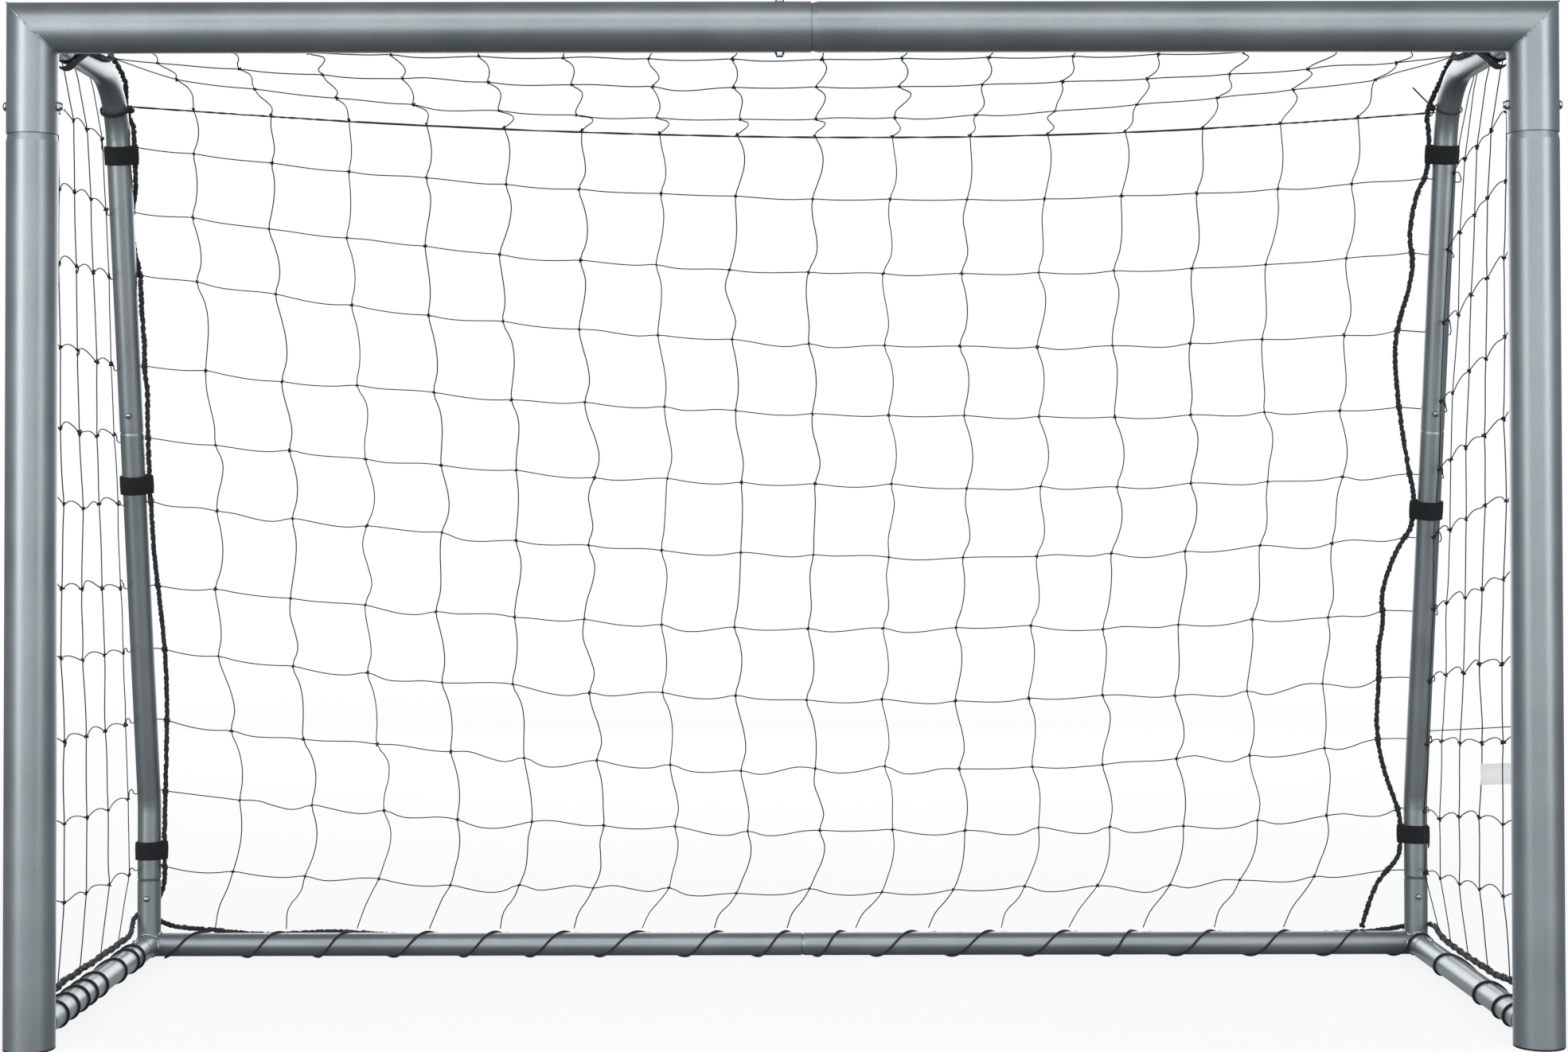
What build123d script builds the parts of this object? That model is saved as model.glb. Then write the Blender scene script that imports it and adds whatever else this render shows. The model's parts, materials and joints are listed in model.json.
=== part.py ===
from build123d import *
from math import atan, cos, radians, sin, tan
import os

os.makedirs("parts", exist_ok=True)

# A small steel-tube soccer goal. +Z is up, the goal mouth faces -Y, and the
# origin is on the ground in the middle of the footprint. Millimetres.

# ---- driving dimensions ----
post_spacing = 1770.0  # between the axes of the two posts
goal_height = 1230.0  # ground to the top of the crossbar
base_depth = 574.0  # post axis to rear bar axis
front_radius = 30.0  # crossbar and posts, 60 mm tube
front_wall = 1.5
rear_radius = 16.0  # base and uprights, 32 mm tube
rear_wall = 1.2
spigot_play = 0.2  # radial play of a swaged end in the tube it enters
cap_flange = 2.5  # thickness of the plastic foot under each post

lace_diameter = 3.0  # cord wound round the base tubes
rope_diameter = 7.0  # border rope of the net
line_diameter = 2.5  # tension line between the uprights
strand = 2.0  # net twine
mesh_pitch = 100.0  # net mesh, knot to knot

# ---- places that follow from them ----
half = post_spacing / 2
bar_z = goal_height - front_radius  # crossbar axis
base_z = rear_radius + lace_diameter  # base tubes ride on the lacing cord
rope_turn = 26.0  # how far behind its axis the border rope goes round a rear corner
rope_reach = base_depth + rope_turn + rope_diameter / 2  # rearmost point of the goal
front_y = (front_radius - rope_reach) / 2  # centres the footprint on the origin
rear_y = front_y + base_depth
SIDES = {"left": -1, "right": 1}

# front frame joints
corner_joint_z = 1074.0  # lower end of the welded corner piece
corner_bolt_z = 1107.0
crossbar_joint_x = 33.0
crossbar_bolt_x = -4.0
front_spigot = 74.0
front_shoulder = 9.0

# rear joints, as distances behind the post axis or heights above the ground
upright_joint_z = 109.0
upright_bend_z = 215.0
upright_lean = 0.199  # run over rise of the leaning stretch
upright_bend_radius = 100.0
mid_joint_z = 734.0
side_joint_rear = 520.0
side_joint_front = 60.0
top_joint = 75.0
rear_joint_x = 26.0
rear_spigot = 50.0
rear_shoulder = 4.0
button_inset = 24.0  # joint line to the snap button

MIN = (Align.CENTER, Align.CENTER, Align.MIN)


def behind(distance):
    """Y of a point that lies this far behind the post axes."""
    return front_y + distance


def upright_depth(z):
    """Distance behind the post axes of the leaning stretch at height z."""
    return base_depth - upright_lean * (z - upright_bend_z)


lean = atan(upright_lean)
lean_up = Vector(0, -sin(lean), cos(lean))  # along the leaning tube, upwards
lean_front = Vector(0, -cos(lean), -sin(lean))  # square to it, towards the mouth
lean_top_depth = upright_depth(bar_z)  # where its axis meets the top run's axis


def facing(x, y, z, direction):
    """Plane at a point whose normal looks along a direction."""
    return Plane(origin=(x, y, z), z_dir=direction)


def save(builder, name):
    builder.part.label = name
    export_step(builder.part, f"parts/{name}.step")


def hollow_tube(start, length, radius, wall):
    """Straight tube that begins on a plane and runs along its normal."""
    with Locations(start):
        Cylinder(radius, length, align=MIN)
        Cylinder(radius - wall, length, align=MIN, mode=Mode.SUBTRACT)


def swaged_end(joint, radius, wall, shoulder, length):
    """Shoulder and reduced spigot: the spigot runs along the joint plane's normal."""
    spigot_radius = radius - wall - spigot_play
    back = joint.offset(-shoulder)
    with Locations(back):
        Cone(radius, spigot_radius, shoulder, align=MIN)
    with Locations(joint):
        Cylinder(spigot_radius, length, align=MIN)
    with Locations(back):
        Cone(radius - wall, spigot_radius - wall, shoulder, align=MIN, mode=Mode.SUBTRACT)
    with Locations(joint):
        Cylinder(spigot_radius - wall, length, align=MIN, mode=Mode.SUBTRACT)


def drill(point, direction, radius, depth):
    """Round hole from a point along a direction."""
    with Locations(facing(*point, direction)):
        Cylinder(radius, depth, align=MIN, mode=Mode.SUBTRACT)


# =====================================================================
# Snap buttons: where each one is, and which way it points
# =====================================================================
# name: (point on the tube axis, direction towards the spring, outward direction)
buttons = {}
for name, side in SIDES.items():
    x = side * half
    buttons[f"upright_base_{name}"] = (
        (x, rear_y, upright_joint_z - button_inset), (0, 0, 1), (0, -1, 0))
    mid_z = mid_joint_z + button_inset * cos(lean)
    buttons[f"upright_mid_{name}"] = (
        (x, behind(upright_depth(mid_z)), mid_z), tuple(-lean_up), tuple(lean_front))
    buttons[f"side_rear_{name}"] = (
        (x, behind(side_joint_rear - button_inset), base_z), (0, 1, 0), (0, 0, 1))
    buttons[f"side_front_{name}"] = (
        (x, behind(side_joint_front + button_inset), base_z), (0, -1, 0), (0, 0, 1))
    buttons[f"top_{name}"] = (
        (x, behind(top_joint + button_inset), bar_z), (0, -1, 0), (0, 0, 1))
buttons["rear_bar"] = ((rear_joint_x - button_inset, rear_y, base_z), (1, 0, 0), (0, 1, 0))

button_radius = 4.0
button_hole = 4.3
button_stand = 4.0  # how far the button stands out of the tube
flange_radius = 5.5
flange_top = 12.0  # underside of the tube wall is curved, so the flange stays below it
flange_thickness = 1.2
spring_thickness = 0.8
spring_width = 6.0


def button_hole_cut(name):
    point, _, outward = buttons[name]
    drill(point, outward, button_hole, rear_radius + button_stand)


# =====================================================================
# Front frame: crossbar halves, welded corner pieces, posts
# =====================================================================
mitre = {
    name: Plane(origin=(side * half, front_y, bar_z), z_dir=(-side, 0, 1))
    for name, side in SIDES.items()
}
bolt_clearance = 3.3
tube_end = post_spacing  # longer than any straight tube, trimmed by the mitres

with BuildPart() as crossbar_left:
    hollow_tube(
        facing(crossbar_joint_x, front_y, bar_z, (-1, 0, 0)), tube_end, front_radius, front_wall
    )
    split(bisect_by=mitre["left"], keep=Keep.TOP)
    drill((crossbar_bolt_x, front_y, 0), (0, 0, 1), bolt_clearance, goal_height)
save(crossbar_left, "crossbar_left")

with BuildPart() as crossbar_right:
    hollow_tube(
        facing(crossbar_joint_x + front_shoulder, front_y, bar_z, (1, 0, 0)),
        tube_end, front_radius, front_wall,
    )
    split(bisect_by=mitre["right"], keep=Keep.TOP)
    swaged_end(
        facing(crossbar_joint_x, front_y, bar_z, (-1, 0, 0)),
        front_radius, front_wall, front_shoulder, front_spigot,
    )
    drill((crossbar_bolt_x, front_y, 0), (0, 0, 1), bolt_clearance, goal_height)
save(crossbar_right, "crossbar_right")

for name, side in SIDES.items():
    x = side * half
    with BuildPart() as corner_piece:
        hollow_tube(
            facing(x, front_y, corner_joint_z, (0, 0, 1)), goal_height, front_radius, front_wall
        )
        split(bisect_by=mitre[name], keep=Keep.BOTTOM)
        drill((x - 2 * front_radius, front_y, corner_bolt_z), (1, 0, 0),
              bolt_clearance, 4 * front_radius)
    save(corner_piece, f"corner_piece_{name}")

    with BuildPart() as post:
        hollow_tube(
            facing(x, front_y, cap_flange, (0, 0, 1)),
            corner_joint_z - front_shoulder - cap_flange, front_radius, front_wall,
        )
        swaged_end(
            facing(x, front_y, corner_joint_z, (0, 0, 1)),
            front_radius, front_wall, front_shoulder, front_spigot,
        )
        drill((x - 2 * front_radius, front_y, corner_bolt_z), (1, 0, 0),
              bolt_clearance, 4 * front_radius)
    save(post, f"post_{name}")

    # Plastic foot: a flange under the tube and a hollow plug inside it.
    plug_radius = front_radius - front_wall - spigot_play
    with BuildPart() as foot:
        with Locations((x, front_y, 0)):
            Cylinder(front_radius, cap_flange, align=MIN)
            Cylinder(plug_radius, 22, align=MIN)
        with Locations((x, front_y, cap_flange)):
            Cylinder(plug_radius - 2.5, 22, align=MIN, mode=Mode.SUBTRACT)
        fillet(foot.edges().filter_by(GeomType.CIRCLE).group_by(Axis.Z)[0], radius=1.0)
    save(foot, f"post_foot_{name}")

# =====================================================================
# Bolts and dome nuts that lock the three front joints
# =====================================================================
bolt_radius = 3.0
washer_radius = 6.0
head_height = 4.5
wall_seat = 0.6  # thickness of the washer face where it meets the round tube

# (point on the tube axis, direction from the nut to the head)
bolt_places = [((crossbar_bolt_x, front_y, bar_z), (0, 0, 1))] + [
    ((side * half, front_y, corner_bolt_z), (side, 0, 0)) for side in SIDES.values()
]


def seated(point, direction):
    """Plane on the tube's surface, square to the bolt."""
    return facing(*point, direction).offset(front_radius)


with BuildPart() as bolts:
    for point, direction in bolt_places:
        seat = seated(point, direction)
        with Locations(seat):
            Cylinder(washer_radius, wall_seat, align=MIN)
        with BuildSketch(seat.offset(wall_seat)):
            Circle(washer_radius - 0.5)
        extrude(amount=head_height - wall_seat)
        fillet(bolts.edges(Select.LAST).filter_by(GeomType.CIRCLE).sort_by(
            lambda e: (e.center() - seat.origin).length)[-1], radius=3.2)
        with Locations(seat):
            Cylinder(bolt_radius, 2 * front_radius + 5,
                     align=(Align.CENTER, Align.CENTER, Align.MAX))
save(bolts, "through_bolts")

with BuildPart() as nuts:
    for point, direction in bolt_places:
        seat = seated(point, tuple(-Vector(*direction)))
        with Locations(seat):
            Cylinder(washer_radius, wall_seat, align=MIN)
        with BuildSketch(seat.offset(wall_seat)):
            RegularPolygon(5.6, 6)
        extrude(amount=2.6)
        with BuildSketch(seat.offset(wall_seat + 2.6)):
            Circle(4.6)
        extrude(amount=3.0)
        fillet(nuts.edges(Select.LAST).filter_by(GeomType.CIRCLE).sort_by(
            lambda e: (e.center() - seat.origin).length)[-1], radius=2.6)
        with Locations(seat):
            Cylinder(bolt_radius + 0.05, 5.2, align=MIN, mode=Mode.SUBTRACT)
save(nuts, "dome_nuts")

# =====================================================================
# Rear base: bar halves, welded three-way corners, side tubes
# =====================================================================
rear_mitre = {
    name: Plane(origin=(side * half, rear_y, base_z), z_dir=(-side, 1, 0))
    for name, side in SIDES.items()
}

with BuildPart() as rear_bar_left:
    hollow_tube(
        facing(rear_joint_x, rear_y, base_z, (-1, 0, 0)), tube_end, rear_radius, rear_wall
    )
    split(bisect_by=rear_mitre["left"], keep=Keep.TOP)
    button_hole_cut("rear_bar")
save(rear_bar_left, "rear_bar_left")

with BuildPart() as rear_bar_right:
    hollow_tube(
        facing(rear_joint_x + rear_shoulder, rear_y, base_z, (1, 0, 0)),
        tube_end, rear_radius, rear_wall,
    )
    split(bisect_by=rear_mitre["right"], keep=Keep.TOP)
    swaged_end(
        facing(rear_joint_x, rear_y, base_z, (-1, 0, 0)),
        rear_radius, rear_wall, rear_shoulder, rear_spigot,
    )
    button_hole_cut("rear_bar")
save(rear_bar_right, "rear_bar_right")

for name, side in SIDES.items():
    x = side * half
    # Solid forms of the mitred corner, to saddle the upright socket on.
    bar_form = split(
        facing(x - side * 60, rear_y, base_z, (side, 0, 0)) * Cylinder(rear_radius, 160, align=MIN),
        bisect_by=rear_mitre[name], keep=Keep.TOP,
    )
    side_form = split(
        facing(x, rear_y - 60, base_z, (0, 1, 0)) * Cylinder(rear_radius, 160, align=MIN),
        bisect_by=rear_mitre[name], keep=Keep.BOTTOM,
    )

    with BuildPart() as side_stub:
        hollow_tube(
            facing(x, behind(side_joint_rear + rear_shoulder), base_z, (0, 1, 0)),
            base_depth, rear_radius, rear_wall,
        )
        split(bisect_by=rear_mitre[name], keep=Keep.BOTTOM)
        swaged_end(
            facing(x, behind(side_joint_rear), base_z, (0, -1, 0)),
            rear_radius, rear_wall, rear_shoulder, rear_spigot,
        )
        button_hole_cut(f"side_rear_{name}")
    save(side_stub, f"rear_corner_side_stub_{name}")

    with BuildPart() as socket:
        hollow_tube(
            facing(x, rear_y, base_z, (0, 0, 1)), upright_joint_z - base_z, rear_radius, rear_wall
        )
        add(bar_form, mode=Mode.SUBTRACT)
        add(side_form, mode=Mode.SUBTRACT)
        button_hole_cut(f"upright_base_{name}")
    save(socket, f"rear_corner_socket_{name}")

    with BuildPart() as side_tube:
        hollow_tube(
            facing(x, behind(side_joint_front), base_z, (0, 1, 0)),
            side_joint_rear - side_joint_front, rear_radius, rear_wall,
        )
        button_hole_cut(f"side_rear_{name}")
        button_hole_cut(f"side_front_{name}")
    save(side_tube, f"side_tube_{name}")

    # Short stub welded to the back of the post, which the side tube slides over.
    with BuildPart() as post_stub:
        hollow_tube(
            facing(x, front_y, base_z, (0, 1, 0)),
            side_joint_front - rear_shoulder, rear_radius, rear_wall,
        )
        swaged_end(
            facing(x, behind(side_joint_front), base_z, (0, 1, 0)),
            rear_radius, rear_wall, rear_shoulder, rear_spigot,
        )
        with Locations((x, front_y, 0)):
            Cylinder(front_radius, 2 * base_z, align=MIN, mode=Mode.SUBTRACT)
        button_hole_cut(f"side_front_{name}")
    save(post_stub, f"post_stub_{name}")

    # The same behind the welded corner, for the upright's top run.
    beam_form = split(
        facing(x - side * 60, front_y, bar_z, (side, 0, 0)) * Cylinder(front_radius, 160, align=MIN),
        bisect_by=mitre[name], keep=Keep.TOP,
    )
    leg_form = split(
        facing(x, front_y, bar_z - 80, (0, 0, 1)) * Cylinder(front_radius, 160, align=MIN),
        bisect_by=mitre[name], keep=Keep.BOTTOM,
    )
    with BuildPart() as top_stub:
        hollow_tube(
            facing(x, front_y, bar_z, (0, 1, 0)), top_joint - rear_shoulder, rear_radius, rear_wall
        )
        swaged_end(
            facing(x, behind(top_joint), bar_z, (0, 1, 0)),
            rear_radius, rear_wall, rear_shoulder, rear_spigot,
        )
        add(beam_form, mode=Mode.SUBTRACT)
        add(leg_form, mode=Mode.SUBTRACT)
        button_hole_cut(f"top_{name}")
    save(top_stub, f"corner_top_stub_{name}")

# =====================================================================
# Uprights: each is a lower tube with one slight bend and an upper tube
# that bends forward to the back of the crossbar corner
# =====================================================================
for name, side in SIDES.items():
    x = side * half
    mid_y = behind(upright_depth(mid_joint_z))
    mid_joint = facing(x, mid_y, mid_joint_z, tuple(lean_up))
    lower_start = upright_joint_z + rear_shoulder
    lower_end = mid_joint.offset(-rear_shoulder).origin

    with BuildPart() as upright_lower:
        with BuildLine():
            FilletPolyline(
                (x, rear_y, lower_start), (x, rear_y, upright_bend_z), lower_end,
                radius=upright_bend_radius,
            )
        with BuildSketch(facing(x, rear_y, lower_start, (0, 0, 1))):
            Circle(rear_radius)
            Circle(rear_radius - rear_wall, mode=Mode.SUBTRACT)
        sweep()
        swaged_end(
            facing(x, rear_y, upright_joint_z, (0, 0, -1)),
            rear_radius, rear_wall, rear_shoulder, rear_spigot,
        )
        swaged_end(mid_joint, rear_radius, rear_wall, rear_shoulder, rear_spigot)
        button_hole_cut(f"upright_base_{name}")
        button_hole_cut(f"upright_mid_{name}")
    save(upright_lower, f"upright_lower_{name}")

    with BuildPart() as upright_upper:
        with BuildLine():
            FilletPolyline(
                (x, behind(top_joint), bar_z), (x, behind(lean_top_depth), bar_z),
                (x, mid_y, mid_joint_z), radius=upright_bend_radius,
            )
        with BuildSketch(facing(x, behind(top_joint), bar_z, (0, 1, 0))):
            Circle(rear_radius)
            Circle(rear_radius - rear_wall, mode=Mode.SUBTRACT)
        sweep()
        button_hole_cut(f"upright_mid_{name}")
        button_hole_cut(f"top_{name}")
    save(upright_upper, f"upright_upper_{name}")

# =====================================================================
# Snap buttons and the V-springs behind them
# =====================================================================
for name, (point, _, outward) in buttons.items():
    axis_plane = facing(*point, outward)
    with BuildPart() as button:
        with Locations(axis_plane.offset(flange_top - flange_thickness)):
            Cylinder(flange_radius, flange_thickness, align=MIN)
        with BuildSketch(axis_plane.offset(flange_top)):
            Circle(button_radius)
        extrude(amount=rear_radius + button_stand - flange_top)
        fillet(button.edges(Select.LAST).filter_by(GeomType.CIRCLE).sort_by(
            lambda e: (e.center() - axis_plane.origin).length)[-1], radius=2.8)
    save(button, f"snap_button_{name}")

with BuildPart() as springs:
    for point, along, outward in buttons.values():
        square = Vector(*outward).cross(Vector(*along))
        strip = Plane(origin=point, x_dir=along, z_dir=tuple(-square))
        leaf_top = flange_top - flange_thickness - spring_thickness / 2
        with BuildSketch(strip):
            with BuildLine():
                Polyline((-7, leaf_top), (7, leaf_top), (40, -8.2), (42, -10.2), (40, -12), (-4, -12))
            trace(line_width=spring_thickness)
        extrude(amount=spring_width / 2, both=True)
save(springs, "button_springs")

# =====================================================================
# Net hooks behind the posts and the crossbar, for the net's front edge
# =====================================================================
hook_width = 9.0
hook_heights = [150.0, 350.0, 550.0, 750.0, 950.0]
hook_spacing = 250.0
hooks_on_bar = 7
front_tubes = [
    facing(side * half, front_y, 0, (0, 0, 1)) * Cylinder(front_radius, corner_joint_z, align=MIN)
    for side in SIDES.values()
] + [facing(-half, front_y, bar_z, (1, 0, 0)) * Cylinder(front_radius, post_spacing, align=MIN)]

with BuildPart() as hooks:
    hook_places = [(side * half, z) for side in SIDES.values() for z in hook_heights] + [
        ((i - (hooks_on_bar - 1) / 2) * hook_spacing, bar_z) for i in range(hooks_on_bar)
    ]
    for hook_x, hook_z in hook_places:
        side_view = Plane(origin=(hook_x, behind(front_radius), hook_z), x_dir=(0, 1, 0),
                          z_dir=(1, 0, 0))
        with BuildSketch(side_view):
            with BuildLine():
                Polyline((-3, -9), (2.5, -9), (2.5, -6), (12, -6), (12, 5), (9.5, 5), (9.5, -3),
                         (2.5, -3), (2.5, 9), (-3, 9), close=True)
            make_face()
        extrude(amount=hook_width / 2, both=True)
    for tube in front_tubes:
        add(tube, mode=Mode.SUBTRACT)
save(hooks, "net_hooks")

# =====================================================================
# Hook-and-loop straps: each holds the border rope to a tube
# =====================================================================
strap_width = 25.0
strap_thickness = 2.0
strap_gap = 0.4
rope_offset = 21.0  # rope axis from the tube axis, under a strap
rope_radius = rope_diameter / 2

upright_straps = {"left": [1101.0, 662.0, 151.0], "right": [1100.0, 625.0, 171.0]}
corner_strap_depth = 150.0  # behind the post axis, on the top run


def strap_planes(name, side):
    """Middle plane of each strap: its normal is the tube, its x looks at the rope."""
    x = side * half
    inward = (-side, 0, 0)
    planes = []
    for z in upright_straps[name]:
        leaning = z > upright_bend_z
        depth = upright_depth(z) if leaning else base_depth
        planes.append(Plane(origin=(x, behind(depth), z), x_dir=inward,
                            z_dir=tuple(lean_up) if leaning else (0, 0, 1)))
    planes.append(Plane(origin=(x, behind(corner_strap_depth), bar_z), x_dir=inward,
                        z_dir=(0, 1, 0)))
    return planes


for name, side in SIDES.items():
    planes = strap_planes(name, side)
    groups = {f"upright_straps_{name}": planes[:3], f"corner_strap_{name}": planes[3:]}
    for node, at in groups.items():
        with BuildPart() as strap:
            for plane in at:
                for wall, how in ((strap_thickness, Mode.ADD), (0, Mode.SUBTRACT)):
                    with BuildSketch(plane):
                        Circle(rear_radius + strap_gap + wall)
                        with Locations((rope_offset, 0)):
                            Circle(rope_radius + strap_gap + wall)
                        make_hull()
                    extrude(amount=strap_width / 2, both=True, mode=how)
        save(strap, node)

# =====================================================================
# Ties that hold the tension line to the uprights, on the upper bends
# =====================================================================
bend_tangent = upright_bend_radius * tan((radians(90) - lean) / 2)
bend_centre_depth = lean_top_depth - bend_tangent
bend_centre_z = bar_z - upright_bend_radius
tie_angle = radians(36)  # above the horizontal, seen from the bend's centre
tie_depth = bend_centre_depth + upright_bend_radius * cos(tie_angle)
tie_z = bend_centre_z + upright_bend_radius * sin(tie_angle)
tie_thickness = {"left": 3.0, "right": 2.0}

for name, side in SIDES.items():
    thickness = tie_thickness[name]
    with BuildPart() as tie:
        with Locations(facing(side * half, behind(tie_depth), tie_z,
                              (0, sin(tie_angle), -cos(tie_angle)))):
            Torus(rear_radius + 0.6 + thickness / 2, thickness / 2)
    save(tie, f"line_tie_{name}")

# =====================================================================
# Net panels: flat lattices of square twine at the true mesh
# =====================================================================
inner_reach = 812.0  # half width of the roof and back panels
columns = 17
back_top = (404.0, 1108.0)  # distance behind the posts, height
back_foot = (576.0, 62.0)
roof_front = (52.0, 1189.0)
roof_back = (368.0, 1146.0)
side_front_gap = 50.0
side_back = 548.0
side_foot = 50.0
side_top = 1146.0
upright_clearance = 24.0


def lattice(x_marks, y_marks, x_low, x_high, y_low, y_high):
    """Twine at the given marks, drawn in the working plane and extruded."""
    middle_x, middle_y = (x_low + x_high) / 2, (y_low + y_high) / 2
    with Locations(*[(mark, middle_y) for mark in x_marks]):
        Rectangle(strand, y_high - y_low)
    with Locations(*[(middle_x, mark) for mark in y_marks]):
        Rectangle(x_high - x_low, strand)


column_marks = [(i - (columns - 1) / 2) * mesh_pitch for i in range(columns)]


def slanted_panel(low, high):
    """Plane of a panel between two edges that run along X, and its length."""
    run = Vector(0, high[0] - low[0], high[1] - low[1])
    plane = Plane(origin=(0, behind(low[0]), low[1]), x_dir=(1, 0, 0),
                  z_dir=Vector(1, 0, 0).cross(run))
    return plane, run.length


for node, low, high in (("net_back", back_foot, back_top), ("net_roof", roof_front, roof_back)):
    plane, length = slanted_panel(low, high)
    rows = int(length // mesh_pitch)
    margin = (length - rows * mesh_pitch) / 2
    with BuildPart() as panel:
        with BuildSketch(plane):
            row_marks = [margin + i * mesh_pitch for i in range(rows + 1)]
            lattice(column_marks, row_marks, -inner_reach, inner_reach, 0, length)
        extrude(amount=strand / 2, both=True)
    save(panel, node)

for name, side in SIDES.items():
    with BuildPart() as panel:
        with BuildSketch(Plane(origin=(side * half, front_y, 0), x_dir=(0, 1, 0), z_dir=(1, 0, 0))):
            depth_marks = [side_front_gap + 10 + i * mesh_pitch for i in range(5)]
            height_marks = [side_foot + i * mesh_pitch for i in range(11)]
            lattice(depth_marks, height_marks, side_front_gap, side_back, side_foot, side_top)
        extrude(amount=strand / 2, both=True)
        keep_clear = Plane(
            origin=(0, behind(upright_depth(mid_joint_z) - upright_clearance), mid_joint_z),
            z_dir=tuple(lean_front),
        )
        split(bisect_by=keep_clear, keep=Keep.TOP)
    save(panel, f"net_{name}")

with BuildPart() as label:
    with Locations((half + 9, behind(185), 298)):
        Box(50, 0.8, 26)
save(label, "net_label")

# =====================================================================
# Cords
# =====================================================================
# Lacing: a sleeve of the cord's outer size round each base tube.
with BuildPart() as lacing_rear:
    with Locations(facing(-850, rear_y, base_z, (1, 0, 0))):
        Cylinder(base_z, 1700, align=MIN)
        Cylinder(rear_radius + 0.3, 1700, align=MIN, mode=Mode.SUBTRACT)
    drill(buttons["rear_bar"][0], (0, 1, 0), button_radius + 4, base_z + 1)
save(lacing_rear, "lacing_rear")

for name, side in SIDES.items():
    with BuildPart() as lacing_side:
        with Locations(facing(side * half, behind(120), base_z, (0, 1, 0))):
            Cylinder(base_z, 355, align=MIN)
            Cylinder(rear_radius + 0.3, 355, align=MIN, mode=Mode.SUBTRACT)
    save(lacing_side, f"lacing_{name}")


def corner_radii(points):
    """Largest arc that each corner's two runs leave room for."""
    radii = []
    for before, here, after in zip(points, points[1:], points[2:]):
        run_in, run_out = Vector(*here) - Vector(*before), Vector(*after) - Vector(*here)
        half_turn = radians(run_in.get_angle(run_out)) / 2
        radii.append(0.45 * min(run_in.length, run_out.length) / tan(half_turn))
    return radii


def cord(node, points, diameter):
    """Round cord along straight runs joined by tangent arcs."""
    radii = corner_radii(points)
    start = Vector(*points[0])
    with BuildPart() as tube:
        with BuildLine():
            route = FilletPolyline(*points, radius=radii)
        with BuildSketch(Plane(origin=start, z_dir=Vector(*points[1]) - start)):
            Circle(diameter / 2)
        sweep()
    section = tube.part.volume / route.length
    print(f"{node}: length {route.length:.0f}, section {section:.2f}, radii",
          " ".join(f"{r:.0f}" for r in radii))
    save(tube, node)


def run_to_points(side, stations):
    """(inset from the tube axis, distance behind the posts, height) to X, Y, Z."""
    return [(side * (half - inset), behind(depth), z) for inset, depth, z in stations]


def beside_upright(inset, z, forward=0.0):
    """A station level with the upright's axis at height z, or in front of it."""
    depth = upright_depth(z) if z > upright_bend_z else base_depth
    return (inset, depth - forward, z)


def strapped(z):
    """Two stations either side of a strap, where the rope lies against the tube."""
    reach = 24.0 * (cos(lean) if z > upright_bend_z else 1)
    return [beside_upright(rope_offset, z + reach), beside_upright(rope_offset, z - reach)]


# Border ropes: along the top run, round its bend, then down beside the upright,
# pulled in to the tube at each strap and slack between.
top_stations = [(22, 46, 1198), (21.6, 84, 1199.3), (21, 126, 1200), (21, 174, 1200),
                (22, 226, 1199), (22.5, 276, 1200.5)]
rope_stations = {
    "left": top_stations + [
        (14, 305, 1218), (4, 331, 1225), (10, 351, 1214), (14, 369, 1199), (13.5, 381, 1188),
        (9, 394, 1174), (10, 405, 1156), (18, 403, 1140)] + strapped(1101) + [
        beside_upright(16.5, 1052, -12.5), beside_upright(8, 1028, -19.5),
        beside_upright(8, 1000, -19.5), beside_upright(10, 975, -18.5),
        beside_upright(18, 950, -11), beside_upright(21.5, 922, 2), beside_upright(21.5, 890, 3),
        beside_upright(24, 845, 5), beside_upright(21, 818, 4), beside_upright(24.5, 790, 3),
        beside_upright(21.5, 735, 1)] + strapped(662) + [
        beside_upright(23, 560, 3), beside_upright(31, 472, 6), beside_upright(33, 385, 3),
        beside_upright(29, 300, 6), beside_upright(23, 228, 2)] + strapped(151) + [
        (18, 590, 98), (6, 597, 76)],
    "right": top_stations + [
        (13, 304, 1217), (3, 332, 1222), (9, 350, 1211), (11.5, 368, 1196), (15, 380, 1184),
        (20, 388, 1170), (26.5, 389.5, 1152)] + strapped(1100) + [
        beside_upright(34, 1052), beside_upright(41, 1020, 2), beside_upright(43, 985, 3),
        beside_upright(36, 960, 4), beside_upright(41, 920, 5), beside_upright(54, 878, 7),
        beside_upright(58, 838, 8), beside_upright(50, 775, 6), beside_upright(38, 715, 2),
        beside_upright(28, 672)] + strapped(625) + [
        beside_upright(33, 584, 1), beside_upright(47, 558, 3), beside_upright(62, 508, 5),
        beside_upright(56, 470, 5), beside_upright(63, 430, 5), beside_upright(58.5, 395, 4),
        beside_upright(62, 325, 7), beside_upright(50, 268, 5),
        beside_upright(31, 222, 1)] + strapped(171) + [
        (29, 576, 130), (45, 579, 113), (57, 581.5, 92), (65, 585.5, 67), (71.5, 590, 42)],
}
for name, side in SIDES.items():
    cord(f"border_rope_{name}", run_to_points(side, rope_stations[name]), rope_diameter)

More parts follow.
